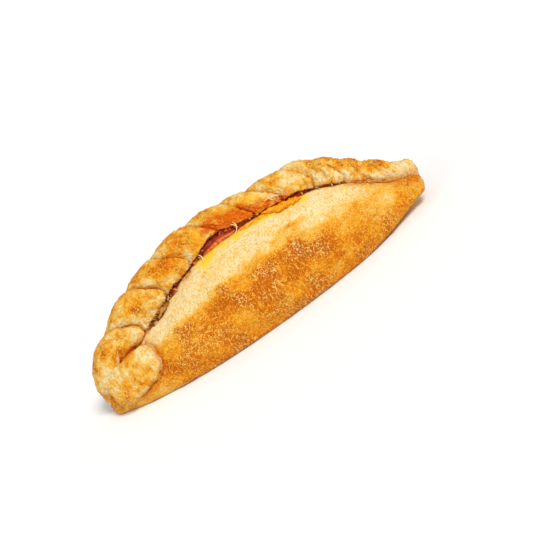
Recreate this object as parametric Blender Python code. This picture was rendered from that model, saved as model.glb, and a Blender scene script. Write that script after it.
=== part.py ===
"""Chicken pasty: one plump crimped pastry, standing on its flat baked base.

The long axis is X, the seam and its rope crimp run along the top, and the panel with the split
seam faces -Y. The origin is under the middle of the pasty, on the surface that it rests on.
The pastry is one solid, worked out from three lofts: the panels, the twisted crimp and the
tucked end pad. The filling is a second solid, which shows where the seam has split.
"""

import math

import bmesh
import bpy
import numpy as np
from mathutils import Matrix, Vector

# Driving dimensions, in metres.
BODY_STATIONS = (
    # place along X, half width of the panels, height of the seam, lift of the base
    (-0.1000, 0.0085, 0.0120, 0.0000),
    (-0.0930, 0.0115, 0.0165, 0.0000),
    (-0.0850, 0.0165, 0.0210, 0.0000),
    (-0.0750, 0.0210, 0.0245, 0.0000),
    (-0.0600, 0.0258, 0.0295, 0.0000),
    (-0.0430, 0.0295, 0.0362, 0.0000),
    (-0.0250, 0.0314, 0.0427, 0.0000),
    (-0.0050, 0.0316, 0.0460, 0.0000),
    (0.0150, 0.0306, 0.0462, 0.0000),
    (0.0350, 0.0280, 0.0440, 0.0000),
    (0.0530, 0.0240, 0.0402, 0.0000),
    (0.0680, 0.0185, 0.0330, 0.0012),
    (0.0800, 0.0138, 0.0250, 0.0030),
    (0.0900, 0.0102, 0.0202, 0.0048),
    (0.0985, 0.0074, 0.0176, 0.0060),
)
BELLY_SHARE = 0.30        # height of the widest point, as a share of the seam's height
EDGE_ROUND = 0.0035       # rounding where the panels turn under to the base
SEAM_LEAN = 0.0040        # how far the top of the panels leans back, at full height
FULL_HEIGHT = 0.0462      # seam height at the middle, which the lean is measured against
UNEVEN = 0.00055          # height of the slow bumps and hollows in the panels
BODY_END_ROUND = 0.0035   # the ends of the panels round off over this length
SMALLEST_SHARE = 0.30     # size of the last section of a rounded end
LEFT_END_RISE = 0.10      # how much of the rounding comes off below, at the left end
RIGHT_END_RISE = 0.50     # the same at the right end, which stands clear of the base

CRIMP_PATH = (
    # the middle of the rope of dough, from its foot at the left end to the right end
    (-0.0908, -0.0010, 0.0026),
    (-0.0903, -0.0005, 0.0130),
    (-0.0825, 0.0000, 0.0241),
    (-0.0680, 0.0010, 0.0333),
    (-0.0475, 0.0020, 0.0418),
    (-0.0271, 0.0030, 0.0480),
    (-0.0060, 0.0030, 0.0497),
    (0.0097, 0.0030, 0.0487),
    (0.0277, 0.0025, 0.0474),
    (0.0456, 0.0020, 0.0464),
    (0.0580, 0.0015, 0.0404),
    (0.0697, 0.0010, 0.0322),
    (0.0800, 0.0005, 0.0245),
    (0.0896, 0.0000, 0.0180),
    (0.0982, 0.0000, 0.0134),
)
LOBE_LENGTHS = (0.031, 0.024, 0.0205, 0.021, 0.020, 0.015, 0.020, 0.016, 0.0135, 0.0105, 0.0175, 0.0150)
CRIMP_STATIONS = (
    # share of the rope's length, half height, half thickness, height of the lobes
    (0.00, 0.0085, 0.0078, 0.0010),
    (0.06, 0.0106, 0.0090, 0.0020),
    (0.15, 0.0122, 0.0095, 0.0027),
    (0.30, 0.0130, 0.0104, 0.0028),
    (0.45, 0.0122, 0.0102, 0.0028),
    (0.70, 0.0104, 0.0092, 0.0025),
    (0.82, 0.0090, 0.0076, 0.0018),
    (0.92, 0.0083, 0.0066, 0.0012),
    (1.00, 0.0080, 0.0062, 0.0006),
)
CRIMP_END_ROUND = 0.0050          # the right end of the rope rounds off over this length
CRIMP_LEAN = math.radians(14.0)   # the rope leans back over the seam
TWIST_ADVANCE = 0.0130            # how far a crease runs along the rope between crest and side
TWIST_HOLD = 0.22                 # keeps a crease running straight on past the rope's side
TWIST_FADE = 2.2                  # the twist fades out over this many advances from each end
LOBE_SKEW = 1.40                  # above 1, a lobe is highest towards its right end
LOBE_FULLNESS = 0.75              # below 1, a lobe is round and its crease is sharp
SIDE_LOBE_SHARE = 0.80            # height of a lobe on the rope's side, against its crest

PAD_CENTRE = (-0.0775, -0.0118, 0.0150)    # the pad of dough tucked in beside the rope's foot
PAD_ALONG = (-0.93, 0.25, -0.27)
PAD_OUTWARD = (-0.20, -0.75, 0.63)
PAD_HALF_SIZES = (0.0180, 0.0108, 0.0082)  # along, across and through the pad

SPLIT_STATIONS = (
    # place along X, depth place Y and height Z of the split seam's mouth, half the gap there
    (-0.0440, -0.0052, 0.0350, 0.0002),
    (-0.0375, -0.0060, 0.0382, 0.0013),
    (-0.0320, -0.0058, 0.0398, 0.0005),
    (-0.0230, -0.0056, 0.0426, 0.0005),
    (-0.0170, -0.0060, 0.0442, 0.0015),
    (-0.0100, -0.0062, 0.0458, 0.0024),
    (-0.0030, -0.0062, 0.0466, 0.0023),
    (0.0040, -0.0064, 0.0462, 0.0014),
    (0.0100, -0.0062, 0.0457, 0.0008),
    (0.0200, -0.0062, 0.0447, 0.0006),
    (0.0320, -0.0058, 0.0432, 0.0006),
    (0.0415, -0.0058, 0.0425, 0.0013),
    (0.0480, -0.0056, 0.0406, 0.0006),
    (0.0560, -0.0060, 0.0376, 0.0009),
    (0.0640, -0.0058, 0.0335, 0.0002),
)
SPLIT_PITCH = math.radians(23.0)   # the split runs into the pasty at this slope, downwards
SPLIT_DEPTH = 0.0090
SPLIT_REACH = 0.0050               # how far the cutter stands out of the mouth
POCKET_SWELL = 0.0016              # the pocket behind the mouth is this much wider each way
SWELL_FROM_GAP = 0.0006            # the pocket reaches its full swell behind this half gap
LEAST_HALF_WIDTH = 0.0001
FILLING_SINK = 0.0016              # the filling lies this far behind the mouth
FILLING_GAP = 0.0003
FILLING_END_GAP = 0.0009           # the filling stops this far short of the ends of the split

# Fineness of the lofts.
BODY_RINGS = 60
BODY_SIDES = 44
LOBE_RINGS = 8
CRIMP_SIDES = 26
PATH_STEPS = 800
PAD_SIDES = 24
SPLIT_RINGS = 46
SPLIT_STEPS = 6

CRUST_COLOUR = (0.78, 0.42, 0.11, 1.0)
CRUST_ROUGHNESS = 0.60
FILLING_COLOUR = (0.32, 0.03, 0.01, 1.0)
FILLING_ROUGHNESS = 0.30
SHARP_ANGLE = math.radians(40.0)


def through(stations, column, places):
    """Read a smooth curve through one column of a station table at the given places."""
    table = np.array(stations)
    knots = table[:, 0]
    values = table[:, column]
    slopes = np.gradient(values, knots)
    places = np.clip(places, knots[0], knots[-1])
    left = np.clip(np.searchsorted(knots, places, side="right") - 1, 0, len(knots) - 2)
    span = knots[left + 1] - knots[left]
    t = (places - knots[left]) / span
    return (
        (2 * t**3 - 3 * t**2 + 1) * values[left]
        + (t**3 - 2 * t**2 + t) * span * slopes[left]
        + (3 * t**2 - 2 * t**3) * values[left + 1]
        + (t**3 - t**2) * span * slopes[left + 1]
    )


def flatten_base(height):
    """Turn all that would lie below the base into one flat face, with a rounded edge."""
    blend = (height + EDGE_ROUND) ** 2 / (4 * EDGE_ROUND)
    return np.where(height >= EDGE_ROUND, height, np.where(height <= -EDGE_ROUND, 0.0, blend))


def slow_waves(x, y, z):
    """Sum a few long waves into soft bumps and hollows between about -1 and 1."""
    return (
        np.sin(140 * x + 95 * z + 0.6)
        + 0.8 * np.sin(230 * x - 170 * y + 2.1)
        + 0.6 * np.sin(410 * x + 260 * z - 120 * y + 4.0)
        + 0.4 * np.sin(610 * z - 330 * x + 1.3)
    ) / 2.4


def end_rounding(from_end, length):
    """Give the size of a section near a rounded end, as a share: a quarter circle."""
    missing = 1.0 - np.clip(from_end / length, 0.0, 1.0)
    return np.maximum(np.sqrt(1.0 - missing**2), SMALLEST_SHARE)


def body_rings():
    """Work out the panels: round sections on a flat base, fuller at the left end."""
    share = np.linspace(-1.0, 1.0, BODY_RINGS)
    first = BODY_STATIONS[0][0]
    last = BODY_STATIONS[-1][0]
    x = 0.5 * (first + last) + 0.5 * (last - first) * np.sin(0.5 * math.pi * share)
    rounding = end_rounding(np.minimum(x - first, last - x), BODY_END_ROUND)[:, None]
    half_width = through(BODY_STATIONS, 1, x)[:, None] * rounding
    full_lift = np.maximum(through(BODY_STATIONS, 3, x), 0.0)[:, None]
    full_height = through(BODY_STATIONS, 2, x)[:, None] - full_lift
    height = full_height * rounding
    rise = np.where(x < 0.0, LEFT_END_RISE, RIGHT_END_RISE)[:, None]
    lift = full_lift + rise * (full_height - height)
    angle = np.linspace(0.0, 2 * math.pi, BODY_SIDES, endpoint=False)[None, :]
    belly = BELLY_SHARE * height
    y = -half_width * np.cos(angle)
    z = flatten_base(belly + (height - belly) * np.sin(angle))
    y = y + SEAM_LEAN * (z / FULL_HEIGHT) ** 2
    x = np.broadcast_to(x[:, None], y.shape)
    clear_of_base = np.clip(z / (2.0 * EDGE_ROUND), 0.0, 1.0)
    swell = UNEVEN * clear_of_base * slow_waves(x, y, z)
    y = y - swell * np.cos(angle)
    z = z + swell * np.clip(np.sin(angle), 0.0, 1.0)
    return np.stack((x, y, z + lift), axis=-1)


def smooth_path(points, steps):
    """Read a smooth curve through points; give places evenly spaced along it."""
    points = np.array(points)
    chords = np.linalg.norm(np.diff(points, axis=0), axis=1)
    table = np.column_stack((np.concatenate(([0.0], np.cumsum(chords))), points))
    fine = np.linspace(0.0, table[-1, 0], steps)
    return np.stack([through(table, axis + 1, fine) for axis in range(3)], axis=-1)


def lobe_height(phase):
    """Give the height of a lobe, 0 in its crease and 1 on its back, rising to the right."""
    inside = phase - np.floor(phase)
    return np.sin(math.pi * inside**LOBE_SKEW) ** LOBE_FULLNESS


def crimp_rings():
    """Work out the crimp: a twisted rope of lobes, each ring following its crease line."""
    path = smooth_path(CRIMP_PATH, PATH_STEPS)
    steps = np.linalg.norm(np.diff(path, axis=0), axis=1)
    run = np.concatenate(([0.0], np.cumsum(steps)))
    length = run[-1]
    creases = np.concatenate(([0.0], np.cumsum(LOBE_LENGTHS)))
    creases = creases * length / creases[-1]
    lobes = len(LOBE_LENGTHS)

    phase = np.linspace(0.0, lobes, lobes * LOBE_RINGS + 1)[:, None]
    angle = np.linspace(-math.pi, math.pi, CRIMP_SIDES, endpoint=False)[None, :]
    crest_place = np.interp(phase, np.arange(lobes + 1), creases)
    from_end = np.minimum(crest_place, length - crest_place)
    fade = np.clip(from_end / (TWIST_FADE * TWIST_ADVANCE), 0.0, 1.0)
    advance = TWIST_ADVANCE * fade * (np.sin(angle) - TWIST_HOLD * np.sin(2 * angle))
    place = crest_place + advance

    centre = np.stack([np.interp(place, run, path[:, axis]) for axis in range(3)], axis=-1)
    tangents = np.gradient(path, run, axis=0)
    tangents = tangents / np.linalg.norm(tangents, axis=1)[:, None]
    along_x = np.interp(place, run, tangents[:, 0])
    along_z = np.interp(place, run, tangents[:, 2])
    outward = np.stack((-along_z, np.zeros_like(place), along_x), axis=-1)
    front = np.array((0.0, -1.0, 0.0))
    crest = math.cos(CRIMP_LEAN) * outward - math.sin(CRIMP_LEAN) * front
    side = math.cos(CRIMP_LEAN) * front + math.sin(CRIMP_LEAN) * outward

    share = place / length
    relief = through(CRIMP_STATIONS, 3, share) * (1.0 - lobe_height(phase))
    relief = relief * (SIDE_LOBE_SHARE + (1.0 - SIDE_LOBE_SHARE) * np.clip(np.cos(angle), 0.0, 1.0))
    rounding = end_rounding(length - place, CRIMP_END_ROUND)
    tall = (through(CRIMP_STATIONS, 1, share) - relief) * rounding
    thick = (through(CRIMP_STATIONS, 2, share) - relief) * rounding
    return (
        centre
        + (tall * np.cos(angle))[..., None] * crest
        + (thick * np.sin(angle))[..., None] * side
    )


def loft(name, rings):
    """Skin a row of rings into one closed mesh object, with a fan over each end."""
    count, sides = rings.shape[:2]
    vertices = rings.reshape(-1, 3)
    ends = np.stack((rings[0].mean(axis=0), rings[-1].mean(axis=0)))
    ring, side = np.meshgrid(np.arange(count - 1), np.arange(sides), indexing="ij")
    corner = ring * sides + side
    beside = ring * sides + (side + 1) % sides
    quads = np.stack((corner, beside, beside + sides, corner + sides), axis=-1).reshape(-1, 4)
    turn = np.arange(sides)
    after = (turn + 1) % sides
    first = np.stack((np.full(sides, count * sides), after, turn), axis=-1)
    base = (count - 1) * sides
    last = np.stack((np.full(sides, count * sides + 1), base + turn, base + after), axis=-1)
    mesh = bpy.data.meshes.new(name)
    faces = quads.tolist() + first.tolist() + last.tolist()
    mesh.from_pydata(np.concatenate((vertices, ends)).tolist(), [], faces)
    shape = bmesh.new()
    shape.from_mesh(mesh)
    bmesh.ops.recalc_face_normals(shape, faces=shape.faces)
    shape.to_mesh(mesh)
    shape.free()
    return bpy.data.objects.new(name, mesh)


def split_rings(nearest, deepest, gap, end_gap):
    """Work out a strip that follows the split seam, from one depth to another behind its mouth.

    Its half width is that of the mouth plus a swell that is largest halfway in, less the gap.
    """
    first = SPLIT_STATIONS[0][0] + end_gap
    last = SPLIT_STATIONS[-1][0] - end_gap
    x = np.linspace(first, last, SPLIT_RINGS)[:, None]
    mouth = np.stack((through(SPLIT_STATIONS, 1, x), through(SPLIT_STATIONS, 2, x)), axis=-1)
    inward = np.array((math.cos(SPLIT_PITCH), -math.sin(SPLIT_PITCH)))
    across = np.array((math.sin(SPLIT_PITCH), math.cos(SPLIT_PITCH)))
    depth = np.linspace(nearest, deepest, SPLIT_STEPS)
    depth = np.concatenate((depth, depth[::-1]))[None, :]
    turn = np.repeat((1.0, -1.0), SPLIT_STEPS)[None, :]
    swell = np.sin(math.pi * np.clip(depth / SPLIT_DEPTH, 0.0, 1.0))
    half_gap = through(SPLIT_STATIONS, 3, x)
    fade = np.clip(half_gap / SWELL_FROM_GAP, 0.0, 1.0)
    half_width = half_gap + POCKET_SWELL * fade * swell - gap
    half_width = np.maximum(half_width, LEAST_HALF_WIDTH)
    flat = mouth + depth[..., None] * inward + (turn * half_width)[..., None] * across
    places = np.broadcast_to(x, flat.shape[:2])
    return np.concatenate((places[..., None], flat), axis=-1)


def end_pad():
    """Make the end pad: a flattened ball of dough, turned to lie along the rope's foot."""
    along = Vector(PAD_ALONG).normalized()
    outward = Vector(PAD_OUTWARD)
    outward = (outward - outward.dot(along) * along).normalized()
    across = outward.cross(along)
    turn = Matrix((along, across, outward)).transposed().to_4x4()
    shape = bmesh.new()
    bmesh.ops.create_uvsphere(shape, u_segments=PAD_SIDES, v_segments=PAD_SIDES // 2, radius=1.0)
    bmesh.ops.scale(shape, vec=PAD_HALF_SIZES, verts=shape.verts)
    bmesh.ops.transform(shape, matrix=Matrix.Translation(PAD_CENTRE) @ turn, verts=shape.verts)
    mesh = bpy.data.meshes.new("end_pad")
    shape.to_mesh(mesh)
    shape.free()
    return bpy.data.objects.new("end_pad", mesh)


def combine(target, others, operation):
    """Apply one Boolean of a whole collection to the target, then remove what it used."""
    cutters = bpy.data.collections["cutters"]
    for other in others:
        cutters.objects.link(other)
        other.hide_render = True
        other.display_type = "WIRE"
    boolean = target.modifiers.new(operation.lower(), "BOOLEAN")
    boolean.operation = operation
    boolean.operand_type = "COLLECTION"
    boolean.collection = cutters
    boolean.solver = "EXACT"
    evaluated = target.evaluated_get(bpy.context.evaluated_depsgraph_get())
    finished = bpy.data.meshes.new_from_object(evaluated)
    target.modifiers.clear()
    target.data = finished
    finished.name = target.name
    for other in others:
        bpy.data.objects.remove(other)


def stand_on_origin(solids):
    """Move the solids together, so that the origin is under the middle of their box."""
    corners = np.array([corner for solid in solids for corner in solid.bound_box])
    low = corners.min(axis=0)
    high = corners.max(axis=0)
    shift = Matrix.Translation((-0.5 * (low[0] + high[0]), -0.5 * (low[1] + high[1]), -low[2]))
    for solid in solids:
        solid.data.transform(shift)


def finish(solid, name, colour, roughness):
    """Shade the solid smooth between its creases and give it a plain finish."""
    material = bpy.data.materials.new(name)
    material.use_nodes = True
    shader = material.node_tree.nodes["Principled BSDF"]
    shader.inputs["Base Color"].default_value = colour
    shader.inputs["Roughness"].default_value = roughness
    shader.inputs["Metallic"].default_value = 0.0
    solid.data.materials.clear()
    solid.data.materials.append(material)
    solid.data.shade_smooth()
    solid.data.set_sharp_from_angle(angle=SHARP_ANGLE)


def build_crust(pasty):
    """Join the panels, the crimp and the end pad, then open the split seam and its pocket."""
    crust = loft("crust", body_rings())
    pasty.objects.link(crust)
    combine(crust, [loft("crimp", crimp_rings()), end_pad()], "UNION")
    pocket = loft("pocket", split_rings(-SPLIT_REACH, SPLIT_DEPTH, 0.0, 0.0))
    combine(crust, [pocket], "DIFFERENCE")
    finish(crust, "baked_crust", CRUST_COLOUR, CRUST_ROUGHNESS)
    return crust


def build_filling(pasty):
    """Lay the filling in the pocket behind the split seam, clear of the pastry all round."""
    deepest = SPLIT_DEPTH - FILLING_GAP
    filling = loft("filling", split_rings(FILLING_SINK, deepest, FILLING_GAP, FILLING_END_GAP))
    pasty.objects.link(filling)
    finish(filling, "red_sauce", FILLING_COLOUR, FILLING_ROUGHNESS)
    return filling


def main():
    """Build the crust and the filling that shows in its split seam."""
    for old in list(bpy.data.objects):
        bpy.data.objects.remove(old)
    pasty = bpy.data.collections.new("chicken_pasty")
    cutters = bpy.data.collections.new("cutters")
    bpy.context.scene.collection.children.link(pasty)
    bpy.context.scene.collection.children.link(cutters)
    cutters.hide_render = True
    stand_on_origin([build_crust(pasty), build_filling(pasty)])


main()
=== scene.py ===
"""Looks of the chicken pasty: baked crust, split seam, sauce and melted cheese.

Everything is worked out in the design frame of the part, in metres: the long axis is X, the
rope crimp runs along the top and the panel with the split seam faces -Y. Each piece is moved
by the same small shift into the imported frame, where the flat base lies on the floor.
"""

import logging
import math
from dataclasses import dataclass
from enum import Enum

import bpy
import numpy as np
from mathutils import Matrix, Vector


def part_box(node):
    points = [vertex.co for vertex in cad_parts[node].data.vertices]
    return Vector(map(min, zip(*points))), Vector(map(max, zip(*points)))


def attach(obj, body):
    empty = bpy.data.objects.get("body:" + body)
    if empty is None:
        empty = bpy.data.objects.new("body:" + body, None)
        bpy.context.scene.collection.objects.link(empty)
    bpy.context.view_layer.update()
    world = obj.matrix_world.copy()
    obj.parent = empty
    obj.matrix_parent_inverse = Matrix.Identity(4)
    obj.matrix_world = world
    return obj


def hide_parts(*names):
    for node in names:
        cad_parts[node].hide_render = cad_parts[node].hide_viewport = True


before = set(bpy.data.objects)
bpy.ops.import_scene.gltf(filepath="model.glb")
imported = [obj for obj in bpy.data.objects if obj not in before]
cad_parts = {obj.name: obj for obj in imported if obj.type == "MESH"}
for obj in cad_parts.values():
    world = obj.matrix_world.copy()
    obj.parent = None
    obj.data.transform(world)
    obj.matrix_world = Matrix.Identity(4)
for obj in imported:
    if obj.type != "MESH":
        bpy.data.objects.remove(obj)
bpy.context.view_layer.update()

Array = np.ndarray
log = logging.getLogger("chicken_pasty")

# The form's driving dimensions, as in the part's source.
BODY_STATIONS = np.array(
    (
        # place along X, half width of the panels, height of the seam, lift of the base
        (-0.1000, 0.0085, 0.0120, 0.0000),
        (-0.0930, 0.0115, 0.0165, 0.0000),
        (-0.0850, 0.0165, 0.0210, 0.0000),
        (-0.0750, 0.0210, 0.0245, 0.0000),
        (-0.0600, 0.0258, 0.0295, 0.0000),
        (-0.0430, 0.0295, 0.0362, 0.0000),
        (-0.0250, 0.0314, 0.0427, 0.0000),
        (-0.0050, 0.0316, 0.0460, 0.0000),
        (0.0150, 0.0306, 0.0462, 0.0000),
        (0.0350, 0.0280, 0.0440, 0.0000),
        (0.0530, 0.0240, 0.0402, 0.0000),
        (0.0680, 0.0185, 0.0330, 0.0012),
        (0.0800, 0.0138, 0.0250, 0.0030),
        (0.0900, 0.0102, 0.0202, 0.0048),
        (0.0985, 0.0074, 0.0176, 0.0060),
    )
)
CRIMP_PATH = np.array(
    (
        (-0.0908, -0.0010, 0.0026),
        (-0.0903, -0.0005, 0.0130),
        (-0.0825, 0.0000, 0.0241),
        (-0.0680, 0.0010, 0.0333),
        (-0.0475, 0.0020, 0.0418),
        (-0.0271, 0.0030, 0.0480),
        (-0.0060, 0.0030, 0.0497),
        (0.0097, 0.0030, 0.0487),
        (0.0277, 0.0025, 0.0474),
        (0.0456, 0.0020, 0.0464),
        (0.0580, 0.0015, 0.0404),
        (0.0697, 0.0010, 0.0322),
        (0.0800, 0.0005, 0.0245),
        (0.0896, 0.0000, 0.0180),
        (0.0982, 0.0000, 0.0134),
    )
)
LOBE_LENGTHS = np.array(
    (0.031, 0.024, 0.0205, 0.021, 0.020, 0.015, 0.020, 0.016, 0.0135, 0.0105, 0.0175, 0.0150)
)
CRIMP_STATIONS = np.array(
    (
        # share of the rope's length, half height, half thickness, height of the lobes
        (0.00, 0.0085, 0.0078, 0.0010),
        (0.06, 0.0106, 0.0090, 0.0020),
        (0.15, 0.0122, 0.0095, 0.0027),
        (0.30, 0.0130, 0.0104, 0.0028),
        (0.45, 0.0122, 0.0102, 0.0028),
        (0.70, 0.0104, 0.0092, 0.0025),
        (0.82, 0.0090, 0.0076, 0.0018),
        (0.92, 0.0083, 0.0066, 0.0012),
        (1.00, 0.0080, 0.0062, 0.0006),
    )
)
SPLIT_STATIONS = np.array(
    (
        # place along X, depth place Y and height Z of the split seam's mouth, half the gap
        (-0.0440, -0.0052, 0.0350, 0.0002),
        (-0.0375, -0.0060, 0.0382, 0.0013),
        (-0.0320, -0.0058, 0.0398, 0.0005),
        (-0.0230, -0.0056, 0.0426, 0.0005),
        (-0.0170, -0.0060, 0.0442, 0.0015),
        (-0.0100, -0.0062, 0.0458, 0.0024),
        (-0.0030, -0.0062, 0.0466, 0.0023),
        (0.0040, -0.0064, 0.0462, 0.0014),
        (0.0100, -0.0062, 0.0457, 0.0008),
        (0.0200, -0.0062, 0.0447, 0.0006),
        (0.0320, -0.0058, 0.0432, 0.0006),
        (0.0415, -0.0058, 0.0425, 0.0013),
        (0.0480, -0.0056, 0.0406, 0.0006),
        (0.0560, -0.0060, 0.0376, 0.0009),
        (0.0640, -0.0058, 0.0335, 0.0002),
    )
)
# Where the rope meets the front panel, from end to end: X, Y, Z.
SEAM_LINE = np.array(
    (
        (-0.0857, -0.0091, 0.0177),
        (-0.0760, -0.0100, 0.0240),
        (-0.0660, -0.0075, 0.0265),
        (-0.0570, -0.0058, 0.0300),
        (-0.0466, -0.0060, 0.0338),
        (-0.0316, -0.0063, 0.0393),
        (-0.0176, -0.0062, 0.0432),
        (-0.0023, -0.0062, 0.0450),
        (0.0130, -0.0061, 0.0448),
        (0.0246, -0.0064, 0.0435),
        (0.0365, -0.0058, 0.0422),
        (0.0480, -0.0052, 0.0403),
        (0.0600, -0.0057, 0.0355),
        (0.0691, -0.0063, 0.0301),
        (0.0766, -0.0061, 0.0251),
        (0.0841, -0.0057, 0.0209),
        (0.0904, -0.0061, 0.0175),
        (0.0960, -0.0056, 0.0157),
    )
)

# How far the dressed panel swells up against the rope above the plain solid: X and rise.
SEAM_RISE = np.array(
    (
        (-0.100, 0.0), (-0.076, 0.0004), (-0.062, 0.0012), (-0.050, 0.0019),
        (-0.035, 0.0017), (-0.010, 0.0024), (0.010, 0.0022), (0.030, 0.0016),
        (0.042, 0.0010), (0.055, 0.0004), (0.068, 0.0), (0.100, 0.0),
    )
)

BELLY_SHARE = 0.30
EDGE_ROUND = 0.0035
SEAM_LEAN = 0.0040
FULL_HEIGHT = 0.0462
UNEVEN = 0.00055
BODY_END_ROUND = 0.0035
CRIMP_END_ROUND = 0.0050
SMALLEST_SHARE = 0.30
LEFT_END_RISE = 0.10
RIGHT_END_RISE = 0.50
CRIMP_LEAN = math.radians(14.0)
TWIST_ADVANCE = 0.0130
TWIST_HOLD = 0.22
TWIST_FADE = 2.2
LOBE_SKEW = 1.40
LOBE_FULLNESS = 0.75
SIDE_LOBE_SHARE = 0.80
# A lobe's front half is a scale: it swells to its peak, and drops off over its last stretch.
SCALE_PEAK = 0.62
SCALE_DROP = 0.88
SCALE_DROP_LENGTH = 0.12
SCALE_FRONT_SHARE = 0.85
SCALE_DEEPENING = 0.75
NOTCH_DEPTH = 0.75
NOTCH_REACH = 0.16
RELIEF_END = 0.02
PAD_CENTRE = np.array((-0.0775, -0.0118, 0.0150))
PAD_ALONG = np.array((-0.93, 0.25, -0.27))
PAD_OUTWARD = np.array((-0.20, -0.75, 0.63))
PAD_HALF_SIZES = np.array((0.0180, 0.0108, 0.0082))
PAD_SQUARENESS = 0.68
SPLIT_PITCH = math.radians(23.0)
SPLIT_DEPTH = 0.0090
POCKET_SWELL = 0.0016
SWELL_FROM_GAP = 0.0006
FILLING_SINK = 0.0016
FILLING_GAP = 0.0003
FILLING_END_GAP = 0.0009
LEAST_HALF_WIDTH = 0.0001
# The open crack between rope and panel, left of the split, runs between these places on X.
CRACK_START = -0.064
CRACK_END = -0.034
FRONT_LIMIT = 0.002

INWARD = np.array((0.0, math.cos(SPLIT_PITCH), -math.sin(SPLIT_PITCH)))
ACROSS = np.array((0.0, math.sin(SPLIT_PITCH), math.cos(SPLIT_PITCH)))


class Slot(Enum):
    """The names of the record's material slots for the crust and the sauce."""

    CRUST = "baked_crust"
    SAUCE = "red_sauce"


# ---------------------------------------------------------------- curves and noise


def smooth(low: float, high: float, value: Array) -> Array:
    """Ease from 0 at low to 1 at high, level at both."""
    t = np.clip((value - low) / (high - low), 0.0, 1.0)
    return t * t * (3.0 - 2.0 * t)


def through(table: Array, column: int, places: Array) -> Array:
    """Read a smooth curve through one column of a station table.

    The curve is a cubic between stations whose slopes are the table's own central differences.

    Args:
        table: The stations, with their places in the first column.
        column: The column to read.
        places: Where to read it.

    Returns:
        The curve's values, in the shape of places.
    """
    knots = table[:, 0]
    values = table[:, column]
    slopes = np.gradient(values, knots)
    places = np.clip(places, knots[0], knots[-1])
    left = np.clip(np.searchsorted(knots, places, side="right") - 1, 0, len(knots) - 2)
    span = knots[left + 1] - knots[left]
    t = (places - knots[left]) / span
    return (
        (2 * t**3 - 3 * t**2 + 1) * values[left]
        + (t**3 - 2 * t**2 + t) * span * slopes[left]
        + (3 * t**2 - 2 * t**3) * values[left + 1]
        + (t**3 - t**2) * span * slopes[left + 1]
    )


def spaced(start: Array | float, end: Array | float, count: int) -> Array:
    """Give evenly spaced values from start to end, in the second direction."""
    return start + (end - start) * np.linspace(0.0, 1.0, count)[None, :]


def full_turn(count: int) -> Array:
    """Give evenly spaced angles once round, in the second direction."""
    return np.linspace(0.0, 2.0 * math.pi, count, endpoint=False)[None, :]


def ball_parts(polar: Array, turn: Array) -> tuple[Array, Array, Array]:
    """Give the three coordinates of a ball's points, with its poles on the first axis."""
    return np.cos(polar) * np.ones_like(turn), np.sin(polar) * np.cos(turn), np.sin(polar) * np.sin(turn)


def end_rounding(from_end: Array, length: float) -> Array:
    """Give the size of a section near a rounded end, as a share: a quarter circle."""
    missing = 1.0 - np.clip(from_end / length, 0.0, 1.0)
    return np.maximum(np.sqrt(1.0 - missing**2), SMALLEST_SHARE)


def cell_bits(cells: Array, seed: int) -> Array:
    """Mix each whole-number cell into 64 random bits.

    The cell's three numbers are each multiplied by a large odd number and joined bit by bit
    with the seed, and the result is mixed by shifts and one more product.

    Args:
        cells: Whole numbers, three to a cell in the last axis.
        seed: Which of many independent sets of numbers to give.

    Returns:
        The bits, without the last axis.
    """
    whole = cells.astype(np.int64).astype(np.uint64)
    mixed = whole[..., 0] * np.uint64(0x9E3779B97F4A7C15)
    mixed = mixed + whole[..., 1] * np.uint64(0xC2B2AE3D27D4EB4F)
    mixed = mixed + whole[..., 2] * np.uint64(0x165667B19E3779F9)
    mixed = mixed ^ np.uint64((seed * 0x27D4EB2F165667C5) & 0xFFFFFFFFFFFFFFFF)
    for shift, factor in ((30, 0xBF58476D1CE4E5B9), (27, 0x94D049BB133111EB)):
        mixed = (mixed ^ (mixed >> np.uint64(shift))) * np.uint64(factor)
    return mixed ^ (mixed >> np.uint64(31))


def cell_random(cells: Array, seed: int) -> Array:
    """Give one even random number from 0 to 1 for each whole-number cell."""
    return (cell_bits(cells, seed) >> np.uint64(11)).astype(float) / 2.0**53


def cell_triples(cells: Array, seed: int) -> Array:
    """Give three even random numbers from 0 to 1 for each whole-number cell.

    Args:
        cells: Whole numbers, three to a cell in the last axis.
        seed: Which numbers.

    Returns:
        The numbers, three in the last axis.
    """
    bits = cell_bits(cells, seed)
    parts = [(bits >> np.uint64(21 * k)) & np.uint64(0x1FFFFF) for k in range(3)]
    return np.stack(parts, axis=-1).astype(float) / 2.0**21


def noise(places: Array, size: float, seed: int) -> Array:
    """Give smooth noise between about -1 and 1, with features of one size.

    Every corner of a cubic lattice has a random slope. A point takes the eight slopes around
    it, each times its offset from that corner, blended by a fifth-power ease.

    Args:
        places: Points, three numbers in the last axis.
        size: The lattice spacing, in metres.
        seed: Which noise.

    Returns:
        The noise at the points.
    """
    scaled = places / size
    cell = np.floor(scaled)
    inside = scaled - cell
    ease = inside**3 * (inside * (inside * 6.0 - 15.0) + 10.0)
    total = np.zeros(places.shape[:-1])
    for corner in np.ndindex(2, 2, 2):
        at = np.array(corner, dtype=float)
        slope = cell_triples(cell + at, seed)
        share = np.prod(np.where(at > 0.5, ease, 1.0 - ease), axis=-1)
        total += share * np.sum((2.0 * slope - 1.0) * (inside - at), axis=-1)
    return 1.7 * total


def layered(places: Array, size: float, seed: int, layers: int = 4) -> Array:
    """Add layers of noise, each half the size and half the height of the one before."""
    return sum(noise(places, size * 0.5**k, seed + k) * 0.5**k for k in range(layers))


def ridged(places: Array, size: float, seed: int) -> Array:
    """Fold smooth noise over at zero, which leaves sharp crests, and centre it."""
    return 0.55 - 2.0 * np.abs(noise(places, size, seed))


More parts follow.
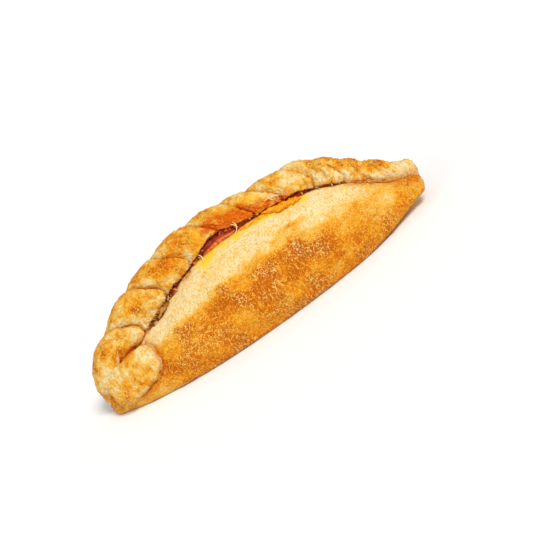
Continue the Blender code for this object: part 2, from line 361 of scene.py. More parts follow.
def nearest_seed(places: Array, size: float, seed: int) -> tuple[Array, Array]:
    """Find the nearest of many scattered points, one in each cell of a cubic lattice.

    Args:
        places: Points, three numbers in the last axis.
        size: The lattice spacing, in metres.
        seed: Which scatter.

    Returns:
        The distance to the nearest scattered point, in cells, and that point's own number.
    """
    scaled = places / size
    cell = np.floor(scaled)
    nearest = np.full(places.shape[:-1], 9.0)
    own = np.zeros(places.shape[:-1])
    for step in np.ndindex(3, 3, 3):
        at = cell + np.array(step) - 1.0
        spot = at + cell_triples(at, seed)
        distance = np.linalg.norm(scaled - spot, axis=-1)
        closer = distance < nearest
        nearest = np.where(closer, distance, nearest)
        own = np.where(closer, cell_random(at, seed + 5000), own)
    return nearest, own


def blisters(places: Array, size: float, seed: int, share: float) -> Array:
    """Raise round blisters from 0 to 1 at a share of scattered points.

    Args:
        places: Points, three numbers in the last axis.
        size: The spacing of the points, in metres.
        seed: Which noise.
        share: The share of points that have a blister.

    Returns:
        The heights, 0 to 1.
    """
    nearest, own = nearest_seed(places, size, seed)
    reach = 0.35 + 0.35 * own / share
    return np.where(own < share, np.clip(1.0 - (nearest / reach) ** 2, 0.0, 1.0) ** 1.5, 0.0)


def flakes(places: Array, size: float, seed: int, steps: float) -> Array:
    """Make low flake edges: level noise cut into steps that rise sharply and slope back.

    Args:
        places: Points, three numbers in the last axis.
        size: Size of the patches of flake, in metres.
        seed: Which flakes.
        steps: How many flakes lie over each other in one patch.

    Returns:
        Heights between about -0.5 and 0.5.
    """
    level = layered(places, size, seed, 3) * steps
    part = level - np.floor(level)
    return smooth(0.0, 0.22, part) - part


def line_distance(places: Array, line: Array) -> tuple[Array, Array]:
    """Give each point's distance to a line of straight stretches, and how far along it is.

    Args:
        places: Points, three numbers in the last axis.
        line: The line's corners, one to a row.

    Returns:
        The distance in metres, and the share of the line's stretches that lie before.
    """
    nearest = np.full(places.shape[:-1], 9.0)
    along = np.zeros(places.shape[:-1])
    count = len(line) - 1
    for index in range(count):
        run = line[index + 1] - line[index]
        t = np.clip(np.sum((places - line[index]) * run, axis=-1) / np.dot(run, run), 0.0, 1.0)
        distance = np.linalg.norm(places - (line[index] + t[..., None] * run), axis=-1)
        closer = distance < nearest
        nearest = np.where(closer, distance, nearest)
        along = np.where(closer, (index + t) / count, along)
    return nearest, along


# ---------------------------------------------------------------- the split seam


def seam_rise(x: Array) -> Array:
    """Give how far the seam lies above the plain solid's at places along X."""
    return np.interp(x, SEAM_RISE[:, 0], SEAM_RISE[:, 1])


def on_plain_seam(places: Array) -> Array:
    """Lower points by the seam's rise, to where they would be on the plain solid.

    Args:
        places: Points, three numbers in the last axis.

    Returns:
        The lowered points.
    """
    lowered = places.copy()
    lowered[..., 2] -= seam_rise(places[..., 0])
    return lowered


def split_mouth(x: Array) -> Array:
    """Give the middle of the split's mouth at places along X, as points."""
    height = through(SPLIT_STATIONS, 2, x) + seam_rise(x)
    return np.stack((x, through(SPLIT_STATIONS, 1, x), height), axis=-1)


def split_half_gap(x: Array) -> Array:
    """Give half the gap of the split's mouth, 0 beyond its ends.

    Args:
        x: Places along X.

    Returns:
        Half the gap, in metres.
    """
    first = SPLIT_STATIONS[0, 0]
    last = SPLIT_STATIONS[-1, 0]
    inside = (x >= first) & (x <= last)
    return np.where(inside, np.maximum(through(SPLIT_STATIONS, 3, x), 0.0), 0.0)


def pocket_half_width(x: Array, depth: Array) -> Array:
    """Give half the height of the pocket behind the mouth: it swells halfway in.

    Args:
        x: Places along X.
        depth: How far behind the mouth.

    Returns:
        Half the height, in metres.
    """
    gap = split_half_gap(x)
    swell = np.sin(math.pi * np.clip(depth / SPLIT_DEPTH, 0.0, 1.0))
    return gap + POCKET_SWELL * np.clip(gap / SWELL_FROM_GAP, 0.0, 1.0) * swell


def filling_places(count: int) -> Array:
    """Give evenly spaced places along X over the length of the filling."""
    first = SPLIT_STATIONS[0, 0] + FILLING_END_GAP
    return np.linspace(first, SPLIT_STATIONS[-1, 0] - FILLING_END_GAP, count)


def seam_points(x: Array) -> Array:
    """Give points of the line where the rope meets the front panel, at places along X.

    Args:
        x: Places along X.

    Returns:
        The points, three numbers in the last axis.
    """
    y = np.interp(x, SEAM_LINE[:, 0], SEAM_LINE[:, 1])
    z = np.interp(x, SEAM_LINE[:, 0], SEAM_LINE[:, 2]) + seam_rise(x)
    return np.stack((x, y, z), axis=-1)


def seam_distance(places: Array) -> Array:
    """Give the distance in Y and Z from the line where the rope meets the front panel."""
    away = places - seam_points(places[..., 0])
    return np.hypot(away[..., 1], away[..., 2])


def calmer_right(share: Array) -> Array:
    """Give how strong the lobes' forms are: they fade over the right end of the rope."""
    return 1.0 - 0.8 * smooth(0.70, 0.80, share)


def lobe_number(lobe: Array) -> Array:
    """Give each lobe a random number of its own, from 0 to 1."""
    return cell_random(np.stack((lobe, lobe + 3, lobe + 8), axis=-1), 401)


# ---------------------------------------------------------------- the three forms


@dataclass(frozen=True)
class RopeForm:
    """The rope's smooth form, without relief: its path, its sections and its lobes."""

    path: Array
    run: Array
    creases: Array

    @classmethod
    def from_path(cls, steps: int = 2400) -> "RopeForm":
        """Measure the rope's path and share its length out to the lobes.

        Args:
            steps: How many points the path is measured with.

        Returns:
            The form.
        """
        path = fine_line(CRIMP_PATH, steps)
        run = np.concatenate(([0.0], np.cumsum(np.linalg.norm(np.diff(path, axis=0), axis=1))))
        creases = np.concatenate(([0.0], np.cumsum(LOBE_LENGTHS)))
        return cls(path, run, creases * run[-1] / creases[-1])

    def advance(self, crest_place: Array, angle: Array) -> Array:
        """Give how far the twist carries a ring's point along, fading out at the ends.

        Args:
            crest_place: Distance of the ring's crest along the path.
            angle: The angle round the rope.

        Returns:
            The distance along the path, in metres.
        """
        from_end = np.minimum(crest_place, self.run[-1] - crest_place)
        fade = np.clip(from_end / (TWIST_FADE * TWIST_ADVANCE), 0.0, 1.0)
        return TWIST_ADVANCE * fade * (np.sin(angle) - TWIST_HOLD * np.sin(2 * angle))

    def axes(self, place: Array) -> tuple[Array, Array, Array]:
        """Give the middle, the crest direction and the side direction at places on the path.

        Args:
            place: Distances along the path.

        Returns:
            The middle points, the crest directions and the side directions.
        """
        middle = np.stack([np.interp(place, self.run, self.path[:, axis]) for axis in range(3)], axis=-1)
        tangents = np.gradient(self.path, self.run, axis=0)
        tangents /= np.linalg.norm(tangents, axis=1)[:, None]
        along_x = np.interp(place, self.run, tangents[:, 0])
        along_z = np.interp(place, self.run, tangents[:, 2])
        outward = np.stack((-along_z, np.zeros_like(place), along_x), axis=-1)
        front = np.array((0.0, -1.0, 0.0))
        crest = math.cos(CRIMP_LEAN) * outward - math.sin(CRIMP_LEAN) * front
        side = math.cos(CRIMP_LEAN) * front + math.sin(CRIMP_LEAN) * outward
        return middle, crest, side

    def half_sizes(self, place: Array, inside: Array, angle: Array) -> tuple[Array, Array]:
        """Work out the section's half height and half thickness.

        The lobes rise and fall as a skewed half sine over the crest. Towards the front they
        turn into scales: they swell slowly from their left crease and drop off quickly at
        their right one, into a valley that is cut deeper there.

        Args:
            place: Distance along the path.
            inside: How far along its lobe a point is, 0 to 1.
            angle: The angle round the rope, 0 at its crest and positive to the front.

        Returns:
            Half the height and half the thickness.
        """
        share = place / self.run[-1]
        over_crest = np.sin(math.pi * inside**LOBE_SKEW) ** LOBE_FULLNESS
        swell = np.sqrt(1.0 - (1.0 - np.clip(inside / SCALE_PEAK, 0.0, 1.0)) ** 2)
        drop = np.sqrt(np.clip(1.0 - ((inside - SCALE_DROP) / SCALE_DROP_LENGTH) ** 2, 0.0, 1.0))
        scale = swell * np.where(inside > SCALE_DROP, drop, 1.0)
        frontness = SCALE_FRONT_SHARE * smooth(0.05, 0.75, np.sin(angle)) * calmer_right(share)
        near_crease = np.clip(1.0 - np.minimum(inside, 1.0 - inside) / NOTCH_REACH, 0.0, 1.0)
        notch = NOTCH_DEPTH * near_crease * (1.0 - frontness) * smooth(-0.9, -0.2, np.cos(angle))
        notch = notch * smooth(0.02, 0.12, share) * smooth(0.98, 0.90, share)
        lobe = over_crest + (scale - over_crest) * frontness - notch
        deeper = 1.0 + SCALE_DEEPENING * frontness
        relief = through(CRIMP_STATIONS, 3, share) * (1.0 - lobe) * deeper
        relief = relief * (SIDE_LOBE_SHARE + (1.0 - SIDE_LOBE_SHARE) * np.clip(np.cos(angle), 0.0, 1.0))
        rounding = end_rounding(self.run[-1] - place, CRIMP_END_ROUND)
        tall = (through(CRIMP_STATIONS, 1, share) - relief) * rounding
        thick = (through(CRIMP_STATIONS, 2, share) - relief) * rounding
        return tall, thick

    def distance(self, places: Array) -> Array:
        """Give about how far points are from the rope's surface, below 0 inside it.

        A point is taken back to the nearest place on the path and to its angle there, the
        twist is undone to find its lobe, and the lobe's section gives the distance.

        Args:
            places: Points, three numbers in the last axis.

        Returns:
            The distances, in metres.
        """
        corners = np.linspace(0, len(self.path) - 1, 49).astype(int)
        _, along = line_distance(places, self.path[corners])
        place = np.clip(along, 0.0, 1.0) * self.run[-1]
        middle, crest, side = self.axes(place)
        up = np.sum((places - middle) * crest, axis=-1)
        out = np.sum((places - middle) * side, axis=-1)
        angle = np.arctan2(out, up)
        crest_place = place - self.advance(place, angle)
        phase = np.interp(crest_place, self.creases, np.arange(len(self.creases)))
        tall, thick = self.half_sizes(place, phase - np.floor(phase), angle)
        return (np.hypot(up / tall, out / thick) - 1.0) * np.sqrt(tall * thick)


def panel_distance(places: Array) -> Array:
    """Give about how far points are from the panels' surface, below 0 inside it.

    Args:
        places: Points, three numbers in the last axis.

    Returns:
        The distances, in metres.
    """
    x, y, z = places[..., 0], places[..., 1], places[..., 2]
    lift = np.maximum(through(BODY_STATIONS, 3, x), 0.0)
    height = through(BODY_STATIONS, 2, x) - lift
    belly = BELLY_SHARE * height
    half_width = through(BODY_STATIONS, 1, x)
    out = (y - SEAM_LEAN * ((z - lift) / FULL_HEIGHT) ** 2) / half_width
    up = (z - lift - belly) / (height - belly)
    up = up - seam_rise(x) / (height - belly) * smooth(0.50, 0.93, up) * (y < 0.003)
    return (np.hypot(out, up) - 1.0) * np.sqrt(half_width * (height - belly))


def pad_axes() -> Array:
    """Give the pad's three directions, one to a row: along, across and outward.

    Returns:
        The directions, each of length 1.
    """
    along = PAD_ALONG / np.linalg.norm(PAD_ALONG)
    outward = PAD_OUTWARD - np.dot(PAD_OUTWARD, along) * along
    outward /= np.linalg.norm(outward)
    return np.array((along, np.cross(outward, along), outward))


def pad_merge(x: Array) -> Array:
    """Give the distance that is added where the pad runs out into the rope's foot."""
    return 0.02 * smooth(-0.0805, -0.0865, x)


def pad_distance(places: Array) -> Array:
    """Give about how far points are from the tucked pad's edge, below 0 inside it.

    The pad runs out smoothly into the rope's foot at its low left end, so points there are
    given as far away, which leaves no groove.

    Args:
        places: Points, three numbers in the last axis.

    Returns:
        The distances, in metres.
    """
    scaled = ((places - PAD_CENTRE) @ pad_axes().T) / PAD_HALF_SIZES
    power = 2.0 / PAD_SQUARENESS
    size = np.sum(np.abs(scaled) ** power, axis=-1) ** (1.0 / power)
    distance = (size - 1.0) * PAD_HALF_SIZES.mean() * np.where(size > 1.0, 1.0, 0.6)
    return distance + pad_merge(places[..., 0])


def faint_edge(distance: Array) -> Array:
    """Keep a distance above 0.6 mm, which leaves a narrower and shallower groove."""
    return 1.3 * np.abs(distance) + 0.0006


# Creases that are carved into the crust: corners in mm, and half width in mm.
CARVED = (
    (((49.5, -6.3, 43.5), (51.5, -5.6, 46.0), (54.0, -5.4, 47.0), (56.5, -5.2, 47.9)), 1.1),
    (((57.0, -5.4, 47.0), (57.4, -6.3, 44.5), (56.4, -7.0, 41.5)), 1.1),
    (((-87.0, -9.5, 23.5), (-88.9, -8.9, 22.3), (-90.3, -8.6, 22.8)), 0.7),
    (((-86.0, -9.0, 26.5), (-87.6, -8.6, 26.8)), 0.5),
    (((-34.9, -7.8, 42.5), (-33.0, -8.0, 43.6)), 0.5),
)


def carved_creases(places: Array) -> Array:
    """Give the depth of the carved creases, 0 to 1, with edges roughened by noise.

    Args:
        places: Points, three numbers in the last axis.

    Returns:
        The depth at each point.
    """
    depth = np.zeros(places.shape[:-1])
    for corners, half_width in CARVED:
        distance, _ = line_distance(places, np.array(corners) / 1000.0)
        distance = distance + 0.0003 * noise(places, 0.0018, 85)
        depth = np.maximum(depth, smooth(half_width / 1000.0, 0.0001, distance))
    return depth


@dataclass(frozen=True)
class Contact:
    """The groove, and the painted shade along it, where one form meets another."""

    distance: Array
    uneven: Array
    wide: Array

    @classmethod
    def between(cls, places: Array, *distances: Array) -> "Contact":
        """Take the nearest of several forms, with noise that makes the groove come and go.

        Args:
            places: Points, three numbers in the last axis.
            *distances: Each form's distance from the points.

        Returns:
            The contact.
        """
        nearest = distances[0]
        for other in distances[1:]:
            nearest = np.minimum(np.abs(nearest), np.abs(other))
        x = places[..., 0]
        wide = 0.9 * smooth(CRACK_START, -0.057, x) * smooth(CRACK_END, -0.043, x)
        wide = 1.0 + wide * (places[..., 1] < 0.0)
        faint = (1.0 - 0.7 * smooth(-0.086, -0.090, x)) * (1.0 - 0.55 * smooth(0.056, 0.072, x))
        uneven = np.clip(0.75 + 0.8 * layered(places, 0.0032, 77, 3), 0.1, 1.2) * faint
        return cls(np.abs(nearest), uneven, wide)

    def groove(self, depth: float = 0.0010, reach: float = 0.0014) -> Array:
        """Give how deep the groove is sunk."""
        return depth * self.wide * self.uneven * smooth(reach, 0.0, self.distance / self.wide)

    def dark(self) -> Array:
        """Give the painted shade of the crease: a narrow dark line with a soft fringe."""
        line = smooth(0.0010, 0.0002, self.distance / self.wide) * self.uneven
        return np.maximum(0.85 * line, 0.38 * smooth(0.0045, 0.0, self.distance))


# ---------------------------------------------------------------- meshes


def grid_normals(grid: Array) -> Array:
    """Give unit normals of a grid that is closed in its second direction.

    They are the cross product of the differences between neighbours in both directions,
    turned to point away from the middle of their own row.

    Args:
        grid: Rows of points, each row closed round.

    Returns:
        The normals, one to each point.
    """
    along = np.gradient(grid, axis=0)
    round_it = np.roll(grid, -1, axis=1) - np.roll(grid, 1, axis=1)
    normals = np.cross(along, round_it)
    normals /= np.maximum(np.linalg.norm(normals, axis=-1, keepdims=True), 1e-12)
    outward = grid - grid.mean(axis=1, keepdims=True)
    sign = np.sign(np.mean(np.sum(normals * outward, axis=-1)))
    return normals * sign


def new_mesh(name: str, vertices: Array, corners: Array, sizes: Array) -> bpy.types.Mesh:
    """Put vertices and faces into a new mesh as whole arrays.

    Args:
        name: The mesh's name.
        vertices: Points, one to a row.
        corners: Every face's vertex numbers, one face after another.
        sizes: How many corners each face has.

    Returns:
        The mesh, with its faces shaded smooth.
    """
    mesh = bpy.data.meshes.new(name)
    mesh.vertices.add(len(vertices))
    mesh.vertices.foreach_set("co", vertices.astype(np.float32).ravel())
    mesh.loops.add(len(corners))
    mesh.loops.foreach_set("vertex_index", corners.astype(np.int32))
    mesh.polygons.add(len(sizes))
    starts = np.concatenate(([0], np.cumsum(sizes)[:-1]))
    mesh.polygons.foreach_set("loop_start", starts.astype(np.int32))
    mesh.update(calc_edges=True)
    mesh.validate()
    mesh.shade_smooth()
    return mesh


def tube_faces(rows: int, sides: int) -> tuple[Array, Array]:
    """Work out the faces of a closed tube: quads between rows, and a fan over each end.

    The two end points come after the grid's own points.

    Args:
        rows: Rows of the grid.
        sides: Points in each row.

    Returns:
        The corners of the faces, and the size of each face.
    """
    row, side = np.meshgrid(np.arange(rows - 1), np.arange(sides), indexing="ij")
    here = row * sides + side
    beside = row * sides + (side + 1) % sides
    quads = np.stack((here, here + sides, beside + sides, beside), axis=-1).reshape(-1)
    turn = np.arange(sides)
    after = (turn + 1) % sides
    base = (rows - 1) * sides
    first = np.stack((np.full(sides, rows * sides), turn, after), axis=-1).reshape(-1)
    last = np.stack((np.full(sides, rows * sides + 1), base + after, base + turn), axis=-1)
    corners = np.concatenate((quads, first, last.reshape(-1)))
    sizes = np.concatenate((np.full(len(quads) // 4, 4), np.full(2 * sides, 3)))
    return corners, sizes


def turn_outward(mesh: bpy.types.Mesh) -> None:
    """Flip a closed mesh if its faces point inwards, which its signed volume tells.

    Args:
        mesh: The mesh, which is changed in place.
    """
    points = np.zeros(len(mesh.vertices) * 3, np.float32)
    mesh.vertices.foreach_get("co", points)
    points = points.reshape(-1, 3).astype(float)
    mesh.calc_loop_triangles()
    corners = np.zeros(len(mesh.loop_triangles) * 3, np.int32)
    mesh.loop_triangles.foreach_get("vertices", corners)
    a, b, c = (points[corners.reshape(-1, 3)[:, k]] for k in range(3))
    if np.sum(a * np.cross(b, c)) < 0.0:
        mesh.flip_normals()


def tubes_mesh(name: str, grids: list[Array], tones: list[Array] | None = None) -> bpy.types.Mesh:
    """Make one mesh of closed tubes, each given as a grid of points.

    Args:
        name: The mesh's name.
        grids: One grid of points to a tube, closed in its second direction.
        tones: Four numbers to each point of each grid, kept as the attribute "bake".

    Returns:
        The mesh, with its faces pointing outwards.
    """
    vertices, corners, sizes, paint = [], [], [], []
    count = 0
    for index, grid in enumerate(grids):
        rows, sides = grid.shape[:2]
        ends = np.stack((grid[0].mean(axis=0), grid[-1].mean(axis=0)))
        tube_corners, tube_sizes = tube_faces(rows, sides)
        vertices.append(np.concatenate((grid.reshape(-1, 3), ends)))
        corners.append(tube_corners + count)
        sizes.append(tube_sizes)
        if tones is not None:
            tone = tones[index]
            tone_ends = np.stack((tone[0].mean(axis=0), tone[-1].mean(axis=0)))
            paint.append(np.concatenate((tone.reshape(-1, 4), tone_ends)))
        count += rows * sides + 2
    mesh = new_mesh(name, np.concatenate(vertices), np.concatenate(corners), np.concatenate(sizes))
    if tones is not None:
        attribute = mesh.attributes.new("bake", "FLOAT_COLOR", "POINT")
        attribute.data.foreach_set("color", np.concatenate(paint).astype(np.float32).ravel())
    turn_outward(mesh)
    return mesh


def swept_tube(line: Array, radii: Array, sides: int, flatness: float = 1.0) -> Array:
    """Carry a round or flattened section along a line of points.

    Each section stands square to the line's own direction, with one axis as upright as it
    can be, and is its radius wide and its radius times the flatness high.

    Args:
        line: The points of the middle line.
        radii: The radius at each point.
        sides: Points round a section.
        flatness: Height of the section against its width.

    Returns:
        The grid of points, one row to a section.
    """
    forward = np.gradient(line, axis=0)
    forward /= np.linalg.norm(forward, axis=1, keepdims=True)
    side = np.cross(forward, np.array((0.05, -0.4, 0.9)))
    side /= np.linalg.norm(side, axis=1, keepdims=True)
    up = np.cross(side, forward)
    angle = full_turn(sides)[..., None]
    wide = np.cos(angle) * side[:, None, :]
    high = flatness * np.sin(angle) * up[:, None, :]
    return line[:, None, :] + radii[:, None, None] * (wide + high)


def fine_line(corners: Array, count: int) -> Array:
    """Read a smooth line through corner points at evenly spaced places.

    Args:
        corners: The line's corners, one to a row.
        count: How many points to read.

    Returns:
        The points, one to a row.
    """
    steps = np.linalg.norm(np.diff(corners, axis=0), axis=1)
    table = np.column_stack((np.concatenate(([0.0], np.cumsum(steps))), corners))
    places = np.linspace(0.0, table[-1, 0], count)
    return np.stack([through(table, axis + 1, places) for axis in range(3)], axis=-1)


def new_object(name: str, data: bpy.types.ID) -> bpy.types.Object:
    """Make an object of a mesh, a light or a camera and put it in the scene.

    Args:
        name: The object's name.
        data: The mesh, the light or the camera.

    Returns:
        The object.
    """
    made = bpy.data.objects.new(name, data)
    bpy.context.scene.collection.objects.link(made)
    return made


def add_piece(mesh: bpy.types.Mesh, shift: Array, slot: Slot | None, *nodes: str) -> bpy.types.Object:
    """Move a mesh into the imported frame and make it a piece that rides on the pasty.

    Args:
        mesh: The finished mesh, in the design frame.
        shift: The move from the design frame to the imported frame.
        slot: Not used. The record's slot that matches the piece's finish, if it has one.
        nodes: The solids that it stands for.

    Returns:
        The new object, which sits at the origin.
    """
    mesh.transform(Matrix.Translation(Vector(shift)))
    piece = new_object(mesh.name, mesh)
    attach(piece, "root")
    if nodes:
        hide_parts(*nodes)
    log.info("%s: %d vertices, %d faces", piece.name, len(mesh.vertices), len(mesh.polygons))
    return piece


# ---------------------------------------------------------------- finishes


class Nodes:
    """A small helper that adds nodes to one material and links them."""

    def __init__(self, name: str) -> None:
        """Start a material with a plain Principled shader.

        Args:
            name: The material's name.
        """
        self.material = bpy.data.materials.new(name)
        self.material.use_nodes = True
        self.tree = self.material.node_tree
        self.shader = self.tree.nodes["Principled BSDF"]

    def add(self, kind: str, settings: dict | None = None, **inputs: object) -> bpy.types.Node:
        """Add a node, set its settings, and set or link its inputs.

        Args:
            kind: The node's type name.
            settings: Attribute names and values.
            inputs: Socket names or numbers (as i0, i1) and values or output sockets.

        Returns:
            The node.
        """
        node = self.tree.nodes.new(kind)
        for key, value in (settings or {}).items():
            setattr(node, key, value)
        for key, value in inputs.items():
            socket = node.inputs[int(key[1:]) if key[1:].isdigit() else key.replace("_", " ")]
            self.feed(socket, value)
        return node

    def feed(self, socket: bpy.types.NodeSocket, value: object) -> None:
        """Set a socket to a value, or link an output socket to it.

        Args:
            socket: The input socket.
            value: A value, or the output socket to link.
        """
        if isinstance(value, bpy.types.NodeSocket):
            self.tree.links.new(value, socket)
        else:
            socket.default_value = value

    def math(self, operation: str, first: object, second: object = 0.0) -> bpy.types.NodeSocket:
        """Add a math node and return its result."""
        return self.add("ShaderNodeMath", {"operation": operation}, i0=first, i1=second).outputs[0]

    def times(self, first: object, second: object) -> bpy.types.NodeSocket:
        """Multiply two values."""
        return self.math("MULTIPLY", first, second)

    def total(self, first: object, *others: object) -> bpy.types.NodeSocket:
        """Add up values in their order.

        Args:
            first: The first value.
            *others: The others.

        Returns:
            The sum.
        """
        for other in others:
            first = self.math("ADD", first, other)
        return first

    def centred(self, value: object, factor: object) -> bpy.types.NodeSocket:
        """Take 0.5 from a value and multiply what is left."""
        return self.times(self.math("SUBTRACT", value, 0.5), factor)

    def spread(self, value: object, span: tuple, ends: tuple, soft: bool = False) -> bpy.types.NodeSocket:
        """Map a span of a value to other ends, straight or with a soft ease.

        Args:
            value: The value.
            span: The two ends of its span.
            ends: What they are mapped to.
            soft: Whether it eases.

        Returns:
            The mapped value.
        """
        settings = {"interpolation_type": "SMOOTHSTEP"} if soft else None
        places = {"i1": span[0], "i2": span[1], "i3": ends[0], "i4": ends[1]}
        return self.add("ShaderNodeMapRange", settings, i0=value, **places).outputs[0]

    def mix(self, share: object, first: object, second: object, blend: str = "MIX") -> bpy.types.NodeSocket:
        """Mix two colours by a share and return the result.

        Args:
            share: The share of the second colour.
            first: A colour.
            second: A colour.
            blend: The way of mixing.

        Returns:
            The mixed colour.
        """
        settings = {"data_type": "RGBA", "blend_type": blend, "clamp_factor": True}
        node = self.add("ShaderNodeMix", settings, i0=share, i6=first, i7=second)
        return node.outputs[2]

    def ramp(self, value: object, stops: tuple) -> bpy.types.NodeSocket:
        """Read a colour ramp of (place, colour) stops at a value.

        Args:
            value: Where to read.
            stops: Each stop's place and colour.

        Returns:
            The colour.
        """
        node = self.add("ShaderNodeValToRGB", i0=value)
        elements = node.color_ramp.elements
        for index, (place, colour) in enumerate(stops):
            element = elements[index] if index < 2 else elements.new(place)
            element.position = place
            element.color = (*colour, 1.0)
        return node.outputs[0]

    def speckle(self, where: object, per_metre: float, detail: float) -> bpy.types.NodeSocket:
        """Add fractal noise in object coordinates and return its value, 0 to 1.

        Args:
            where: The coordinates.
            per_metre: The noise's scale.
            detail: Its layers.

        Returns:
            The noise's value.
        """
        settings = {"noise_dimensions": "3D"}
        node = self.add("ShaderNodeTexNoise", settings, Vector=where, Scale=per_metre, Detail=detail)
        return node.outputs[0]

    def strokes(self, where: object, stretch: tuple, per_metre: float, detail: float) -> bpy.types.NodeSocket:
        """Give how far stretched noise is from its middle level: 0 along thin winding lines."""
        moved = self.add("ShaderNodeVectorMath", {"operation": "MULTIPLY"}, i0=where, i1=stretch).outputs[0]
        return self.math("ABSOLUTE", self.math("SUBTRACT", self.speckle(moved, per_metre, detail), 0.5))

    def bump(self, strength: float, distance: float, height: object) -> bpy.types.NodeSocket:
        """Turn a height into a bumped normal."""
        return self.add("ShaderNodeBump", Strength=strength, Distance=distance, Height=height).outputs[0]

    def surface(self, **inputs: object) -> None:
        """Set or link the shader's own inputs, named with _ for each space."""
        for key, value in inputs.items():
            self.feed(self.shader.inputs[key.replace("_", " ")], value)


@dataclass(frozen=True)
class CrustFinish:
    """Egg-washed pastry: pale cream where it stayed covered, golden to brown where it baked."""

    stops: tuple = (
        (0.00, (0.82, 0.675, 0.385)),
        (0.16, (0.81, 0.560, 0.185)),
        (0.32, (0.81, 0.430, 0.055)),
        (0.50, (0.74, 0.285, 0.006)),
        (0.66, (0.62, 0.175, 0.003)),
        (0.82, (0.50, 0.11, 0.003)),
        (1.00, (0.36, 0.066, 0.003)),
    )
    flaky: tuple = (0.84, 0.43, 0.09, 1.0)
    oil: tuple = (0.68, 0.110, 0.001, 1.0)
    cheese_oil: tuple = (0.92, 0.59, 0.030, 1.0)
    # The warm multiply and the dark brown of the painted crease shade.
    painted_shade_warmth: tuple = (0.76, 0.42, 0.13, 1.0)
    shadow: tuple = (0.150, 0.030, 0.006, 1.0)

    def material(self) -> bpy.types.Material:
        """Build the material.

        The attribute "bake" holds the browning, the orange oil, the painted shade of creases and
        grooves, and the yellow oil. Fine noise in object coordinates adds the grain between the vertices.

        Returns:
            The material.
        """
        n = Nodes("baked_crust_finish")
        bake = n.add("ShaderNodeAttribute", {"attribute_name": "bake"})
        baked, oiled, painted_crease_shade = n.add("ShaderNodeSeparateColor", i0=bake.outputs["Color"]).outputs
        where = n.add("ShaderNodeTexCoord").outputs["Object"]
        patches = n.spread(n.speckle(where, 95.0, 2.0), (0.44, 0.60), (0.0, 1.0), soft=True)
        golden = n.spread(baked, (0.22, 0.45), (0.0, 0.75), soft=True)
        flaky_patch = n.times(patches, golden)
        rough_patch = n.total(n.times(flaky_patch, 0.45), 0.60)
        mottle = n.speckle(where, 520.0, 2.0)
        grain = n.speckle(where, 1500.0, 3.0)
        vein = n.spread(n.strokes(where, (1.0, 1.0, 0.55), 640.0, 2.5), (0.0, 0.055), (0.70, -0.30))
        turned = n.times(n.math("SUBTRACT", 0.36, baked), 1.9)
        turned = n.times(turned, n.total(flaky_patch, 0.75))
        fleck = n.times(n.centred(grain, rough_patch), 1.3)
        browning = n.total(baked, n.centred(mottle, 0.35), fleck, n.times(vein, turned))
        browning = n.math("MINIMUM", browning, 0.86)
        colour = n.ramp(browning, self.stops)
        flakes_shown = n.strokes(where, (1.0, 0.7, 0.42), 760.0, 1.5)
        flakes_shown = n.times(n.spread(flakes_shown, (0.0, 0.040), (0.52, 0.0), soft=True), flaky_patch)
        colour = n.mix(flakes_shown, colour, self.flaky)
        soaked = n.total(n.centred(grain, 1.6), 1.0, n.times(vein, 0.25))
        colour = n.mix(n.times(bake.outputs["Alpha"], soaked), colour, self.cheese_oil)
        colour = n.mix(n.times(oiled, soaked), colour, self.oil)
        # Painted shade of creases and grooves: a warm multiply up to half, then the dark shadow colour
        # beyond.
        crease = n.times(painted_crease_shade, 2.0)
        warm_painted_shade = n.mix(1.0, colour, self.painted_shade_warmth, "MULTIPLY")
        colour = n.mix(crease, colour, warm_painted_shade)
        colour = n.mix(n.math("SUBTRACT", crease, 1.0), colour, self.shadow)
        height = n.total(n.times(mottle, 0.6), n.times(grain, rough_patch), n.times(vein, 0.07))
        height = n.total(height, n.times(flakes_shown, 0.16))
        n.surface(
            Base_Color=colour,
            Roughness=n.spread(browning, (0.1, 0.7), (0.60, 0.34)),
            Normal=n.bump(1.0, 0.0008, height),
            Specular_IOR_Level=0.30,
            Specular_Tint=(1.0, 0.70, 0.22, 1.0),
            Subsurface_Weight=0.20,
            Subsurface_Radius=(1.0, 0.42, 0.08),
            Subsurface_Scale=0.0020,
        )
        return n.material


@dataclass(frozen=True)
class WetFinish:
    """A wet, glossy filling: two colours mottled together under a shiny surface."""

    name: str
    dark: tuple
    light: tuple
    per_metre: float = 450.0
    roughness: float = 0.18
    shine: float = 0.5

    def material(self) -> bpy.types.Material:
        """Build the material: fractal noise mixes the two colours and roughens the gloss.

        Returns:
            The material.
        """
        n = Nodes(self.name)
        where = n.add("ShaderNodeTexCoord").outputs["Object"]
        cloud = n.speckle(where, self.per_metre, 3.0)
        share = n.spread(cloud, (0.38, 0.64), (0.0, 1.0))
        n.surface(
            Base_Color=n.mix(share, (*self.dark, 1.0), (*self.light, 1.0)),
            Roughness=n.spread(cloud, (0.3, 0.7), (self.roughness, 0.45)),
            Normal=n.bump(0.4, 0.0006, cloud),
            Specular_IOR_Level=self.shine,
            Specular_Tint=(1.0, 0.85, 0.6, 1.0),
            Subsurface_Weight=0.12,
            Subsurface_Scale=0.0015,
        )
        return n.material


# The finishes of the filling, the pepper strip, the cheese ridge and the cheese threads.
WET_FINISHES = (
    WetFinish("red_sauce_finish", (0.19, 0.007, 0.001), (0.50, 0.045, 0.004)),
    WetFinish("pepper_finish", (0.50, 0.055, 0.008), (0.80, 0.20, 0.035), 700.0),
    WetFinish("baked_cheese_finish", (0.70, 0.19, 0.002), (0.92, 0.43, 0.008), 1100.0, 0.4, 0.25),
    WetFinish("cheese_finish", (0.90, 0.58, 0.16), (0.96, 0.82, 0.48), 700.0, 0.3),
)


# ---------------------------------------------------------------- tones of the crust


